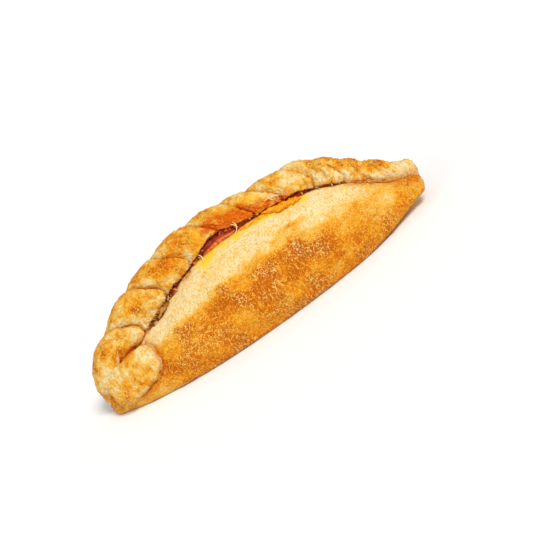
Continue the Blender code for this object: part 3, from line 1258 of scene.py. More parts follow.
@dataclass(frozen=True)
class Patch:
    """A soft patch of darker or paler baking on a panel."""

    x: float
    angle: float
    half_length: float
    half_angle: float
    amount: float

    def on(self, x: Array, angle: Array) -> Array:
        """Give the patch's share of browning: a bell shape in both directions.

        Args:
            x: Places along X.
            angle: Degrees above level.

        Returns:
            The browning to add at each place.
        """
        u = (x - self.x) / self.half_length
        v = (angle - self.angle) / self.half_angle
        return self.amount * np.exp(-(u * u + v * v))


PANEL_AXIS_HEIGHT = 0.012
# Where the covered, pale pastry ends on the front panel: X in mm, degrees above level.
PALE_EDGE = np.array(
    (
        (-100, 60), (-75, 44), (-60, 37), (-45, 40), (-30, 42), (-15, 46), (0, 50),
        (12, 47), (25, 45), (40, 46), (55, 42), (70, 46), (82, 58), (100, 75),
    ),
    dtype=float,
)
# Patches of the front panel: X in mm, degrees above level, half sizes in mm and degrees.
FRONT_PATCHES = tuple(
    Patch(x / 1000, angle, half_length / 1000, half_angle, amount)
    for x, angle, half_length, half_angle, amount in (
        (-23, 32, 6, 6, 0.22),
        (-10, 20, 8, 6, 0.16),
        (-27, 18, 7, 5, 0.12),
        (0, 21, 6, 6, 0.30),
        (8, 31, 9, 8, 0.24),
        (24, 34, 4.5, 8, 0.32),
        (31, 22, 8, 7, 0.26),
        (17, 13, 7, 6, 0.20),
        (36, 12, 6, 4, 0.18),
        (-42, 30, 6, 8, 0.10),
        (-48, 35, 1.3, 3, 0.45),
        (-56, -4, 12, 5, 0.10),
        (-10, -4, 10, 5, -0.12),
        (9, -4, 9, 5, -0.14),
        (38, -6, 8, 5, -0.10),
        (62, 18, 14, 16, -0.16),
        (78, 20, 4, 22, -0.16),
        (40, 40, 6, 5, -0.10),
        (29, 54, 8, 3.6, 0.34),
        (19, 49, 6, 3.4, 0.22),
        (50, 47, 10, 4, 0.10),
        (-58, 48, 4, 10, 0.06),
        (-17, 27, 5, 6, 0.16),
        (-26, 27, 5, 6, 0.14),
        (-52, 36, 6, 9, -0.14),
        (-61, -16, 10, 8, -0.12),
        (-11, -4, 7, 5, 0.06),
        (53, 60, 14, 9, -0.06),
        (0, 60, 26, 12, 0.05),
    )
)


def panel_tone(places: Array) -> Array:
    """Work out the browning of the panels.

    The front is pale from the seam down to an uneven edge, golden below it, and has darker
    and paler patches. The back is the same with other noise. All of it is broken up by noise
    from 12 mm down to 1 mm.

    Args:
        places: Points of the panels.

    Returns:
        The browning, 0 to 1.
    """
    x = places[..., 0]
    angle = np.degrees(np.arctan2(places[..., 2] - PANEL_AXIS_HEIGHT, np.abs(places[..., 1])))
    edge = np.interp(x * 1000, PALE_EDGE[:, 0], PALE_EDGE[:, 1])
    edge = edge + 7.0 * layered(places, 0.011, 21, 3)
    golden = smooth(-6.0, 9.0, edge - angle)
    deeper = smooth(8.0, 34.0, edge - angle)
    tone = 0.09 + 0.38 * golden + 0.10 * deeper
    front = places[..., 1] < 0.0
    patches = sum(patch.on(x, angle) for patch in FRONT_PATCHES)
    tone = tone + np.where(front, patches, 0.0)
    tone = tone + 0.15 * layered(places, 0.013, 31, 3) * (0.40 + 0.60 * golden)
    tone = tone + 0.06 * noise(places, 0.0026, 37) + 0.05 * noise(places, 0.0055, 39)
    low_left = smooth(-0.045, -0.075, x) * smooth(6.0, -14.0, angle)
    tone = tone - 0.16 * low_left
    right_end = smooth(0.045, 0.085, x)
    tone = tone - 0.08 * right_end * golden + 0.20 * right_end * (1.0 - golden)
    rim = smooth(0.0035, 0.0008, places[..., 2]) * smooth(-0.075, -0.02, x)
    return np.clip(tone + 0.14 * rim, 0.0, 1.0)


# Baked or pale spots on the rope and the pad: X, Y, Z and reach in mm, and browning.
SPOTS = (
    (-84.8, -5.5, 34.0, 3.5, 0.20),
    (-92.0, -2.5, 27.0, 3.0, 0.20),
    (-89.5, -6.5, 27.0, 4.5, -0.24),
    (22.7, -3.6, 55.3, 6.0, -0.13),
    (42.7, -3.8, 53.5, 7.0, -0.20),
    (94.0, -6.0, 17.0, 9.0, -0.55),
    (-82.0, -6.5, 33.5, 4.5, 0.12),
    (-91.5, -12.5, 9.0, 6.0, 0.30),
    (-90.0, -8.0, 20.0, 4.0, -0.12),
    (-76.5, -17.0, 20.5, 4.5, 0.24),
    (-70.0, -21.5, 16.5, 4.0, 0.16),
    (-70.0, -15.0, 25.0, 4.5, -0.12),
    (-84.0, -18.0, 12.0, 4.5, 0.20),
    (-52.0, -6.0, 41.0, 5.0, 0.14),
    (-35.5, -5.0, 50.0, 4.5, 0.22),
    (-27.0, -5.0, 52.0, 3.5, 0.14),
)


def spots_tone(places: Array) -> Array:
    """Add up the browning of the spots, each a bell shape with an edge made uneven by noise.

    Args:
        places: Points, three numbers in the last axis.

    Returns:
        The browning to add at each point.
    """
    moved = places + 0.0016 * noise(places, 0.005, 431)[..., None]
    total = np.zeros(places.shape[:-1])
    for x, y, z, reach, amount in SPOTS:
        away = np.linalg.norm(moved - np.array((x, y, z)) / 1000.0, axis=-1)
        total += amount * np.exp(-((away * 1000.0 / reach) ** 2))
    return total


@dataclass(frozen=True)
class Stain:
    """A stain of oil that runs along a line on the crust."""

    line: tuple
    radius: float
    strength: float
    ragged: float = 0.5

    def on(self, places: Array, seed: int) -> Array:
        """Give the stain's strength: full on its line, uneven and fading to its radius.

        Args:
            places: Points, three numbers in the last axis.
            seed: Which noises.

        Returns:
            The strength at each point.
        """
        distance, _ = line_distance(places, np.array(self.line) / 1000.0)
        reach = self.radius * (1.0 + self.ragged * layered(places, 0.004, seed, 3))
        drawn_out = places * np.array((0.6, 1.0, 1.4))
        patchy = np.clip(0.90 + 0.7 * layered(drawn_out, 0.0035, seed + 4, 3), 0.0, 1.0)
        return self.strength * patchy * smooth(1.0, 0.1, distance / np.maximum(reach, 1e-4))


OIL_STAINS = (
    Stain(((-6, -4.0, 54.0), (-1, -5.0, 52.0), (4, -6.0, 50.5), (12, -5.5, 50)), 0.0058, 1.35, 0.45),
    Stain(((8, -7.4, 49), (14, -6.8, 48.5), (22, -7.0, 47.5)), 0.0060, 0.85, 0.5),
    Stain(((25, -7.0, 46.6), (31, -7.0, 45.6), (36, -5.5, 45)), 0.0045, 1.0, 0.4),
    Stain(((-15, -6.5, 49), (-3, -5, 53), (10, -4, 53), (15, -5, 51)), 0.0085, 0.45, 0.5),
    Stain(((-31, -4, 50), (-26, -2, 55)), 0.0050, 0.40, 0.6),
)
CHEESE_STAINS = (
    Stain(((-17, -8.2, 43), (-13, -8.6, 43.2), (-9, -8.4, 43.8)), 0.0060, 1.9, 0.45),
    Stain(((-9, -8.0, 44.2), (2, -8.0, 44.6)), 0.0032, 1.1, 0.6),
    Stain(((4.6, -7.4, 45.2), (3.2, -9.6, 42.6)), 0.0030, 1.6, 0.5),
    Stain(((7, -8.0, 44.2), (20, -8.0, 43.4)), 0.0044, 1.2, 0.6),
    Stain(((20, -8.2, 43.2), (30, -8.6, 42.3), (41, -8.0, 40.8)), 0.0046, 1.3, 0.4),
    Stain(((-12, -5.5, 51), (0, -5.5, 53), (12, -5.5, 52), (22, -5.5, 49)), 0.0085, 0.80, 0.4),
    Stain(((-17, -6.5, 44), (-17.6, -10.4, 41.8), (-18, -16.4, 38.6)), 0.0020, 1.6),
    Stain(((10, -6.8, 49), (17, -6.4, 49)), 0.0030, 0.5),
)


def stained(places: Array, stains: tuple, seed: int) -> Array:
    """Add up stains, which are placed for the plain seam, to a strength from 0 to 1."""
    places = on_plain_seam(places)
    return np.clip(sum(stain.on(places, seed) for stain in stains), 0.0, 1.0)


def crust_tones(places: Array, browning: Array, crease: Array) -> Array:
    """Pack browning, orange oil, painted crease shade and yellow oil for the attribute "bake".

    Args:
        places: Points, three numbers in the last axis.
        browning: The browning at each point.
        crease: How much painted shade each point takes, most in creases and grooves.

    Returns:
        The four numbers of each point.
    """
    oil = stained(places, OIL_STAINS, 51)
    cheese = stained(places, CHEESE_STAINS, 61)
    return np.stack((np.clip(browning, 0.0, 1.0), oil, np.clip(crease, 0.0, 1.0), cheese), axis=-1)


def crust_relief(places: Array, seed: int) -> Array:
    """Give the height of the crust's own relief, in metres.

    It adds lumps of a centimetre, scattered blisters, the edges of flakes and fine grain.
    The finer kinds are strong in some patches and faint in the glazed ones between.

    Args:
        places: Points, three numbers in the last axis.
        seed: Which noises.

    Returns:
        The height at each point.
    """
    rough = 0.45 + 0.9 * smooth(-0.15, 0.30, noise(places, 0.012, seed + 21))
    height = 0.00045 * noise(places, 0.011, seed) - 0.00040
    height += 0.00040 * blisters(places, 0.0044, seed + 3, 0.35) * rough
    height += 0.00036 * flakes(places, 0.0070, seed + 5, 2.4) * rough
    height += 0.00024 * ridged(places, 0.0023, seed + 9) * rough
    height += 0.00014 * noise(places, 0.0012, seed + 13) * rough
    return height


# ---------------------------------------------------------------- pieces


@dataclass
class Panels:
    """The plump folded panels of the pasty, on their flat base, with the split's pocket."""

    shift: Array
    rope: RopeForm
    columns: int = 416
    front_rows: int = 150
    pocket_rows: int = 16
    back_rows: int = 64
    base_rows: int = 8
    evenness: float = 0.6
    lip_ragged: float = 0.010
    lowest: float = math.radians(-27.0)
    lip_step: float = math.radians(9.0)
    upper_lip: float = 0.0012
    crack_depth: float = 0.0012

    def section(self, x: Array, angle: Array) -> Array:
        """Work out points of the panels' round section at places X and section angles.

        Half width times the angle's cosine gives Y, belly height plus the rest of the height
        times its sine gives Z. All below the base is flattened, and the top leans back.

        Args:
            x: Places along X, one to a row.
            angle: Section angles, 0 level at the front and a quarter turn at the top.

        Returns:
            The grid of points.
        """
        first, last = BODY_STATIONS[[0, -1], 0]
        rounding = end_rounding(np.minimum(x - first, last - x), BODY_END_ROUND)
        half_width = through(BODY_STATIONS, 1, x) * rounding
        full_lift = np.maximum(through(BODY_STATIONS, 3, x), 0.0)
        full_height = through(BODY_STATIONS, 2, x) - full_lift
        height = full_height * rounding
        rise = np.where(x < 0.0, LEFT_END_RISE, RIGHT_END_RISE)
        lift = full_lift + rise * (full_height - height)
        belly = BELLY_SHARE * height
        y = -half_width * np.cos(angle)
        z = belly + (height - belly) * np.sin(angle)
        blend = (z + EDGE_ROUND) ** 2 / (4.0 * EDGE_ROUND)
        z = np.where(z >= EDGE_ROUND, z, np.where(z <= -EDGE_ROUND, 0.0, blend))
        y = y + SEAM_LEAN * (z / FULL_HEIGHT) ** 2
        x = np.broadcast_to(x, y.shape)
        waves = (
            np.sin(140 * x + 95 * z + 0.6)
            + 0.8 * np.sin(230 * x - 170 * y + 2.1)
            + 0.6 * np.sin(410 * x + 260 * z - 120 * y + 4.0)
            + 0.4 * np.sin(610 * z - 330 * x + 1.3)
        ) / 2.4
        shoulder = smooth(math.radians(30.0), math.radians(70.0), angle)
        z = z + seam_rise(x) * shoulder * smooth(math.radians(130.0), math.radians(105.0), angle)
        swell = UNEVEN * np.clip(z / (2.0 * EDGE_ROUND), 0.0, 1.0) * waves
        y = y - swell * np.cos(angle)
        z = z + swell * np.clip(np.sin(angle), 0.0, 1.0)
        return np.stack((x, y, z + lift), axis=-1)

    def crack(self, grid: Array, from_rope: Array) -> Array:
        """Give the share of the open crack between rope and panel, left of the split.

        Args:
            grid: The panels' points.
            from_rope: Their distances from the rope.

        Returns:
            The share, 0 to 1.
        """
        x = grid[..., 0]
        there = smooth(CRACK_START, -0.058, x) * smooth(CRACK_END, -0.040, x) * (grid[..., 1] < FRONT_LIMIT)
        ragged = from_rope + 0.00025 * ridged(grid, 0.0017, 91) + 0.0006 * noise(grid, 0.004, 93)
        return there * smooth(0.0018, 0.0010, ragged)

    def contact(self, grid: Array, from_rope: Array) -> Contact:
        """Find where the rope and the pad touch the panels, leaving out the open split."""
        open_here = smooth(0.0003, 0.0007, split_half_gap(grid[..., 0])) * (grid[..., 1] < FRONT_LIMIT)
        return Contact.between(grid, np.abs(from_rope) + 0.004 * open_here, faint_edge(pad_distance(grid)))

    def textured(self, grid: Array, normals: Array, seed: int) -> Array:
        """Add the crust's relief, fine ripples near the right end and the contact groove.

        Args:
            grid: The smooth points.
            normals: Their outward directions.
            seed: Which noises.

        Returns:
            The moved points. Those on the flat base stay.
        """
        x = grid[..., 0]
        from_rope = self.rope.distance(grid)
        height = crust_relief(grid, seed)
        rippled = ridged(grid * np.array((1.0, 0.2, 0.2)), 0.0015, seed + 17)
        height += 0.00022 * rippled * smooth(0.028, 0.050, x) * smooth(0.018, 0.006, from_rope)
        height -= self.contact(grid, from_rope).groove() + self.crack_depth * self.crack(grid, from_rope)
        fade = smooth(0.0003, 0.0030, grid[..., 2])
        return grid + (height * fade)[..., None] * normals

    def build(self) -> bpy.types.Object:
        """Build the panels.

        Each section runs up the front panel to the lip of the split, into the pocket and out
        of it again, over the top, down the back panel and along the base.

        Returns:
            The piece.
        """
        share = np.linspace(-1.0, 1.0, self.columns)
        spread = self.evenness * share + (1.0 - self.evenness) * np.sin(0.5 * math.pi * share)
        first, last = BODY_STATIONS[[0, -1], 0]
        x = (0.5 * (first + last) + 0.5 * (last - first) * spread)[:, None]
        mouth = split_mouth(x[:, 0])
        half_width = through(BODY_STATIONS, 1, x)
        lean = SEAM_LEAN * (mouth[:, None, 2] / FULL_HEIGHT) ** 2
        lip_angle = np.arccos(np.clip((lean - mouth[:, None, 1]) / half_width, 0.05, 0.6))
        at_lip = np.stack((x, 0 * x, 0 * x), axis=-1)
        lip_angle = lip_angle + self.lip_ragged * layered(at_lip, 0.004, 71, 4)
        front = self.section(x, spaced(self.lowest, lip_angle, self.front_rows))
        back_end = math.pi - self.lowest
        back = self.section(x, spaced(lip_angle + self.lip_step, back_end, self.back_rows))
        base = self.section(x, spaced(back_end, 2 * math.pi + self.lowest, self.base_rows + 2)[:, 1:-1])
        smooth_front = front

        lip = front[:, -1]
        half = self.pocket_rows // 2
        deep = np.linspace(0.0, 1.0, half + 1)[1:]
        gap = split_half_gap(x)
        open_share = smooth(0.0, 0.0006, gap)
        depth = SPLIT_DEPTH * deep[None, :] * open_share
        width = pocket_half_width(x, depth) - gap
        lower = lip[:, None] + depth[..., None] * INWARD - (width * open_share)[..., None] * ACROSS
        top = np.where(open_share > 0.01, mouth + (gap + self.upper_lip) * ACROSS, lip)
        upper = top[:, None] + depth[:, ::-1, None] * INWARD
        upper = upper + (width[:, ::-1] * open_share)[..., None] * ACROSS
        upper = np.where(open_share[..., None] > 0.01, upper, lip[:, None])

        normals = grid_normals(np.concatenate((front, back, base), axis=1))
        rows = self.front_rows
        front = self.textured(front, normals[:, :rows], 101)
        back = self.textured(back, normals[:, rows : rows + self.back_rows], 201)
        fade = smooth(0.0, 5.0, rows - 1.0 - np.arange(rows))[None, :, None]
        front = lip[:, None] + (front - lip[:, None]) * fade + (1.0 - fade) * (smooth_front - lip[:, None])
        grid = np.concatenate((front, lower, upper, back, base), axis=1)

        from_rope = self.rope.distance(grid)
        # Painted shade along the contact groove and in the open crack left of the split.
        crease = np.maximum(self.contact(grid, from_rope).dark(), 0.92 * self.crack(grid, from_rope))
        # Painted shade inside the split's pocket, lighter under the cheese ridge, and along its lip.
        under_cheese = smooth(0.005, 0.010, x) * smooth(0.040, 0.036, x)
        crease[:, rows : rows + 2 * half] = 0.80 - 0.45 * under_cheese
        lip_rows = slice(rows - 3, rows)
        crease[:, lip_rows] = np.maximum(crease[:, lip_rows], 0.35 * smooth(0.0002, 0.001, gap))
        mesh = tubes_mesh("pastry_panels", [grid], [crust_tones(grid, panel_tone(grid), crease)])
        return add_piece(mesh, self.shift, Slot.CRUST, "crust")


@dataclass
class RopeCrimp:
    """The twisted rope of overlapping lobes along the seam."""

    shift: Array
    rope: RopeForm
    lobe_rings: int = 48
    sides: int = 170
    overhang: float = 0.0013
    rim_height: float = 0.00055
    fold_depth: float = 0.00050
    wavering: float = 0.0022
    carved_depth: float = 0.0006
    foot_reach: float = 0.0011

    def build(self) -> bpy.types.Object:
        """Build the rope.

        Rings follow the crease lines of the twist. A lobe rises from its left crease, is
        fullest towards its right end and hangs over the next one there, with a rolled rim.
        The underside is held above the split, whose upper edge it forms.

        Returns:
            The piece.
        """
        lobes = len(LOBE_LENGTHS)
        length = self.rope.run[-1]
        phase = np.linspace(0.0, lobes, lobes * self.lobe_rings + 1)[:, None]
        lobe = np.minimum(np.floor(phase), lobes - 1)
        inside = phase - lobe
        angle = np.linspace(-math.pi, math.pi, self.sides, endpoint=False)[None, :]
        crest_place = np.interp(phase, np.arange(lobes + 1), self.rope.creases)
        from_end = np.minimum(crest_place, length - crest_place)
        lobe_size = LOBE_LENGTHS[lobe.astype(int)] / LOBE_LENGTHS.mean()
        hang = self.overhang * lobe_size * smooth(0.50, 0.88, inside) * smooth(1.0, 0.93, inside)
        hang = hang * smooth(0.0, RELIEF_END, from_end) * smooth(-0.5, 0.4, np.sin(angle))
        fading = calmer_right(crest_place / length)
        bends = np.stack(np.broadcast_arrays(phase * 1.9, 1.1 * angle, 0.5 * lobe), axis=-1)
        waver = self.wavering * noise(bends, 1.0, 299) * smooth(0.0, RELIEF_END, from_end)
        place = crest_place + self.rope.advance(crest_place, angle) + hang * fading + waver
        middle, crest, side = self.rope.axes(place)
        tall, thick = self.rope.half_sizes(place, inside, angle)
        grid = middle + (tall * np.cos(angle))[..., None] * crest + (thick * np.sin(angle))[..., None] * side

        normals = grid_normals(grid)
        mask = smooth(0.0, 0.06, inside) * smooth(1.0, 0.96, inside)
        height = crust_relief(grid, 301) * mask
        fold_at = 0.76 + 0.10 * (lobe_number(lobe) - 0.5) + 0.04 * noise(grid, 0.006, 303)
        fold = np.exp(-(((inside - fold_at) / 0.020) ** 2))
        roll = smooth(0.0, 0.05, inside - fold_at) * smooth(0.99, 0.93, inside)
        strength = np.clip(0.55 + 0.9 * noise(grid, 0.010, 307), 0.0, 1.0) * fading
        rim = self.rim_height * roll - self.fold_depth * fold
        height += strength * rim * smooth(-0.2, 0.5, np.sin(angle))
        twisted = np.stack(np.broadcast_arrays(crest_place, 0.0035 * angle, 0.02 * lobe), axis=-1)
        height += (0.00032 * noise(twisted, 0.0042, 305) + 0.00022 * ridged(grid, 0.0021, 327)) * mask
        strands = np.stack(np.broadcast_arrays(place, 0.0022 * angle, 0.0 * place), axis=-1)
        near = smooth(0.0075, 0.0015, seam_distance(grid))
        combed = np.maximum(smooth(0.030, 0.052, grid[..., 0]), 0.8 * near)
        combing = ridged(strands, 0.0018, 309)
        height += 0.00042 * combing * combed * mask
        height += 0.00050 * near * layered(grid, 0.0030, 311, 3) * mask
        height += 0.00060 * blisters(grid, 0.0030, 313, 0.8) * stained(grid, OIL_STAINS, 51) * mask
        contact = Contact.between(grid, panel_distance(grid), pad_distance(grid))
        carved = carved_creases(grid)
        height -= contact.groove() + self.carved_depth * carved
        grid = grid + height[..., None] * normals

        x = grid[..., 0]
        mouth = split_mouth(x)
        above = np.sum((grid - mouth) * ACROSS, axis=-1)
        outside = np.maximum(np.maximum(SPLIT_STATIONS[0, 0] - x, x - SPLIT_STATIONS[-1, 0]), 0.0)
        ragged = 0.0004 * layered(grid, 0.0030, 317, 2) + 0.0004 * ridged(grid, 0.0016, 319)
        hole = 0.0005 * smooth(-0.018, -0.012, x) * smooth(0.004, -0.002, x)
        floor = split_half_gap(x) + ragged + hole - 2.0 * outside
        lifted = np.maximum(floor - above, 0.0)
        grid = grid + lifted[..., None] * ACROSS
        grid[..., 0] -= self.foot_reach * smooth(-0.080, -0.091, x)

        tone = self.tone(grid, phase, inside, angle) - 0.22 * near * combing
        # Painted shade under the rope where it is lifted over the split.
        painted_shade_under_rope = smooth(0.0002, 0.0015, lifted) * 0.5
        # Painted shade in the lobes' valleys and folds.
        valley = 0.42 * np.maximum(smooth(0.07, 0.0, inside), smooth(0.965, 1.0, inside))
        valley = valley + 0.20 * fold * strength
        valley = valley * smooth(0.0, RELIEF_END, from_end) * (0.7 + 0.8 * layered(grid, 0.005, 333, 2))
        # Dark streaks along the crack left of the split: torn strands, darkened as painted shade.
        frayed_crack_shade = smooth(0.0068, 0.0018, seam_distance(grid)) * smooth(-0.012, -0.022, x)
        frayed_crack_shade = 0.36 * (frayed_crack_shade * smooth(CRACK_START, -0.056, x))
        frayed_crack_shade = frayed_crack_shade * np.clip(0.35 + 1.1 * ridged(strands, 0.0015, 331), 0.0, 1.0)
        # All of these go to the painted crease shade, and the carved creases are darkened as painted shade
        # too.
        crease = np.maximum.reduce((contact.dark(), painted_shade_under_rope, valley, frayed_crack_shade)) + carved * 0.35
        mesh = tubes_mesh("rope_crimp", [grid], [crust_tones(grid, tone, crease)])
        return add_piece(mesh, self.shift, Slot.CRUST, "crust")

    def tone(self, grid: Array, phase: Array, inside: Array, angle: Array) -> Array:
        """Work out the rope's browning: lobes brown on their backs and stay pale on the rim.

        Args:
            grid: The rope's points.
            phase: Which lobe, and how far along it.
            inside: How far along its lobe each ring is, 0 to 1.
            angle: The angle round the rope, 0 at its crest.

        Returns:
            The browning, 0 to 1.
        """
        x = grid[..., 0]
        own = lobe_number(np.floor(phase))
        band = smooth(0.18, 0.45, inside) * smooth(0.84, 0.62, inside)
        rim = smooth(0.66, 0.95, inside)
        crestness = np.clip(np.cos(angle - 0.25), 0.0, 1.0)
        near = smooth(0.010, 0.003, seam_distance(grid))
        # Painted shade: browner at each lobe's start and near its creases, where the folds fall into shade.
        start = smooth(0.30, 0.06, inside) * smooth(0.062, 0.045, x)
        crease = np.maximum(smooth(0.11, 0.0, inside), smooth(0.94, 1.0, inside)) * smooth(0.085, 0.045, x)
        tone = 0.19 + 0.20 * band * (0.1 + 1.2 * own) + 0.07 * crestness + 0.14 * rim
        tone = tone + 0.07 * start + 0.16 * crease - 0.06 * near + spots_tone(grid)
        tone = tone + 0.20 * layered(grid, 0.008, 411, 4) + 0.09 * noise(grid, 0.0022, 421)
        tone = tone + 0.17 * layered(grid, 0.0034, 423, 2) - 0.02
        tone = tone + 0.16 * smooth(0.045, 0.070, x) * smooth(0.3, 0.9, crestness) * smooth(0.094, 0.080, x)
        tone = tone + 0.16 * smooth(0.2, 1.0, np.cos(angle + 1.1))
        tone = tone - 0.10 * smooth(-0.070, -0.085, x)
        # Painted shade: browner where the rope's foot curls under beside the pad.
        tone = tone + 0.22 * smooth(0.0060, 0.0010, np.abs(pad_distance(grid)))
        return np.clip(tone, 0.0, 1.0)


@dataclass
class EndPad:
    """The pad of dough that is tucked in beside the rope's foot."""

    shift: Array
    rope: RopeForm
    rows: int = 130
    sides: int = 180

    def build(self) -> bpy.types.Object:
        """Build the pad: a flattened ball with squared edges, turned along the rope's foot.

        Returns:
            The piece.
        """
        polar = np.linspace(0.02, math.pi - 0.02, self.rows)[:, None]
        parts = ball_parts(polar, full_turn(self.sides))
        ball = np.stack([np.sign(part) * np.abs(part) ** PAD_SQUARENESS for part in parts], axis=-1)
        grid = PAD_CENTRE + (ball * PAD_HALF_SIZES * 0.98) @ pad_axes()
        normals = grid_normals(grid)
        height = crust_relief(grid, 501) + 0.0006 * layered(grid, 0.006, 511, 3)
        streaks = (grid - PAD_CENTRE) @ pad_axes().T * np.array((1.0, 0.25, 0.4))
        height += 0.00035 * ridged(streaks, 0.0024, 513)
        merged = pad_merge(grid[..., 0])
        panels = faint_edge(panel_distance(grid)) + merged
        contact = Contact.between(grid, self.rope.distance(grid) + merged, panels)
        height -= contact.groove()
        grid = grid + height[..., None] * normals
        grid[..., 2] = np.maximum(grid[..., 2], 0.0005)
        tone = 0.25 + 0.16 * layered(grid, 0.010, 521, 3) + 0.09 * noise(grid, 0.0022, 523)
        tone = tone + spots_tone(grid) + 0.16 * layered(grid, 0.0036, 525, 2)
        tone = tone - 0.10 * smooth(-0.072, -0.064, grid[..., 0])
        # The contact's painted shade darkens the pad where it meets the rope and the panels.
        mesh = tubes_mesh("tucked_pad", [grid], [crust_tones(grid, tone, contact.dark())])
        return add_piece(mesh, self.shift, Slot.CRUST, "crust")


@dataclass
class SauceFilling:
    """The sauce and chicken in the pocket behind the split seam."""

    shift: Array
    columns: int = 420
    sides: int = 40

    def build(self) -> bpy.types.Object:
        """Build the filling: a strip that follows the split, with an uneven front.

        Returns:
            The piece.
        """
        x = filling_places(self.columns)[:, None]
        turn = full_turn(self.sides)
        middle = 0.5 * (FILLING_SINK + SPLIT_DEPTH - FILLING_GAP)
        reach = 0.5 * (SPLIT_DEPTH - FILLING_GAP - FILLING_SINK)
        depth = middle - reach * np.sign(np.cos(turn)) * np.abs(np.cos(turn)) ** 0.7
        width = np.maximum(pocket_half_width(x, depth) - FILLING_GAP, LEAST_HALF_WIDTH)
        high = width * np.sign(np.sin(turn)) * np.abs(np.sin(turn)) ** 0.5
        high = high - seam_rise(x) * smooth(0.0, -0.3, np.sin(turn))
        grid = split_mouth(x[:, 0])[:, None] + depth[..., None] * INWARD + high[..., None] * ACROSS
        lumps = 0.0007 * layered(grid, 0.0045, 601, 3) * smooth(0.0, 0.9, np.cos(turn))
        grid = grid - (lumps + 0.0002)[..., None] * INWARD
        mesh = tubes_mesh("sauce_filling", [grid])
        return add_piece(mesh, self.shift, Slot.SAUCE, "filling")


@dataclass(frozen=True)
class Strand:
    """One soft strand: corners of X, Y, Z and radius in mm, its noise, and how lumpy it is."""

    corners: tuple
    seed: int
    lumps: float = 0.3


STRANDS = (
    ("pepper_strip", Slot.SAUCE, (
        Strand((
            (-16, -6.6, 43.2, 0.7), (-11, -6.4, 44.0, 1.2), (-6, -6.3, 44.6, 1.4),
            (-1, -6.4, 44.8, 1.2), (4.5, -6.6, 44.6, 0.6),
        ), 611),
    )),
    ("cheese_ridge", None, (
        Strand((
            (6, -7.9, 43.8, 0.8), (11, -8.5, 43.5, 1.3), (15, -8.7, 43.2, 1.1),
            (19, -8.8, 43.0, 1.7), (23, -8.5, 43.2, 1.1),
        ), 621, 0.6),
        Strand((
            (20, -7.5, 44.9, 0.8), (25, -8.5, 43.8, 1.7), (30, -8.8, 42.9, 2.2),
            (35, -8.7, 42.1, 2.4), (38, -8.5, 41.5, 2.2), (41, -8.0, 41.0, 1.5),
        ), 627, 0.5),
    )),
    ("cheese_threads", None, (
        Strand((
            (5.6, -7.2, 49.6, 0.2), (6.4, -7.9, 47.4, 0.26), (5.4, -8.3, 45.4, 0.26), (3.2, -9.3, 43.8, 0.2),
        ), 631),
        Strand(((4.2, -7.3, 49.0, 0.2), (5.8, -8.1, 47.6, 0.24), (6.6, -8.3, 46.0, 0.2)), 633),
        Strand((
            (24.5, -7.6, 49.5, 0.2), (27.5, -8.1, 49.8, 0.25),
            (31.5, -7.8, 48.6, 0.25), (33.5, -7.6, 47.6, 0.2),
        ), 637),
        Strand(((27.0, -7.4, 51.0, 0.2), (28.0, -8.2, 48.5, 0.25), (30.0, -8.2, 47.4, 0.2)), 641),
        Strand(((-17.8, -7.4, 45.8, 0.2), (-16.8, -8.6, 44.2, 0.28), (-17.4, -10.6, 42.4, 0.2)), 643),
    )),
)


@dataclass
class SeamStrands:
    """Soft strands along the split: a strip of pepper, baked cheese and its threads."""

    shift: Array
    count: int = 130
    sides: int = 32

    def strip(self, strand: Strand) -> Array:
        """Make one strand: its radius rises and falls with noise, and both ends taper.

        Args:
            strand: The strand to make.

        Returns:
            The grid of points.
        """
        table = np.array(strand.corners) / 1000.0
        table[:, 2] += seam_rise(table[:, 0])
        line = fine_line(table[:, :3], self.count)
        share = np.linspace(0.0, 1.0, self.count)
        radii = np.interp(share, np.linspace(0.0, 1.0, len(table)), table[:, 3])
        taper = np.sin(math.pi * np.clip(share * 0.97 + 0.015, 0.0, 1.0)) ** 0.40
        grid = swept_tube(line, radii * taper, self.sides, 0.85)
        outward = grid - line[:, None, :]
        bumps = noise(grid, 0.0030, strand.seed) + 0.8 * blisters(grid, 0.0016, strand.seed + 1, 0.7)
        rough = 1.0 + strand.lumps * (bumps - 0.3)
        return line[:, None, :] + outward * rough[..., None]

    def build(self) -> list[bpy.types.Object]:
        """Build the pepper strip, the baked cheese ridge and the fine cheese threads.

        Returns:
            The three pieces.
        """
        made = []
        for name, slot, strands in STRANDS:
            mesh = tubes_mesh(name, [self.strip(strand) for strand in strands])
            made.append(add_piece(mesh, self.shift, slot))
        return made


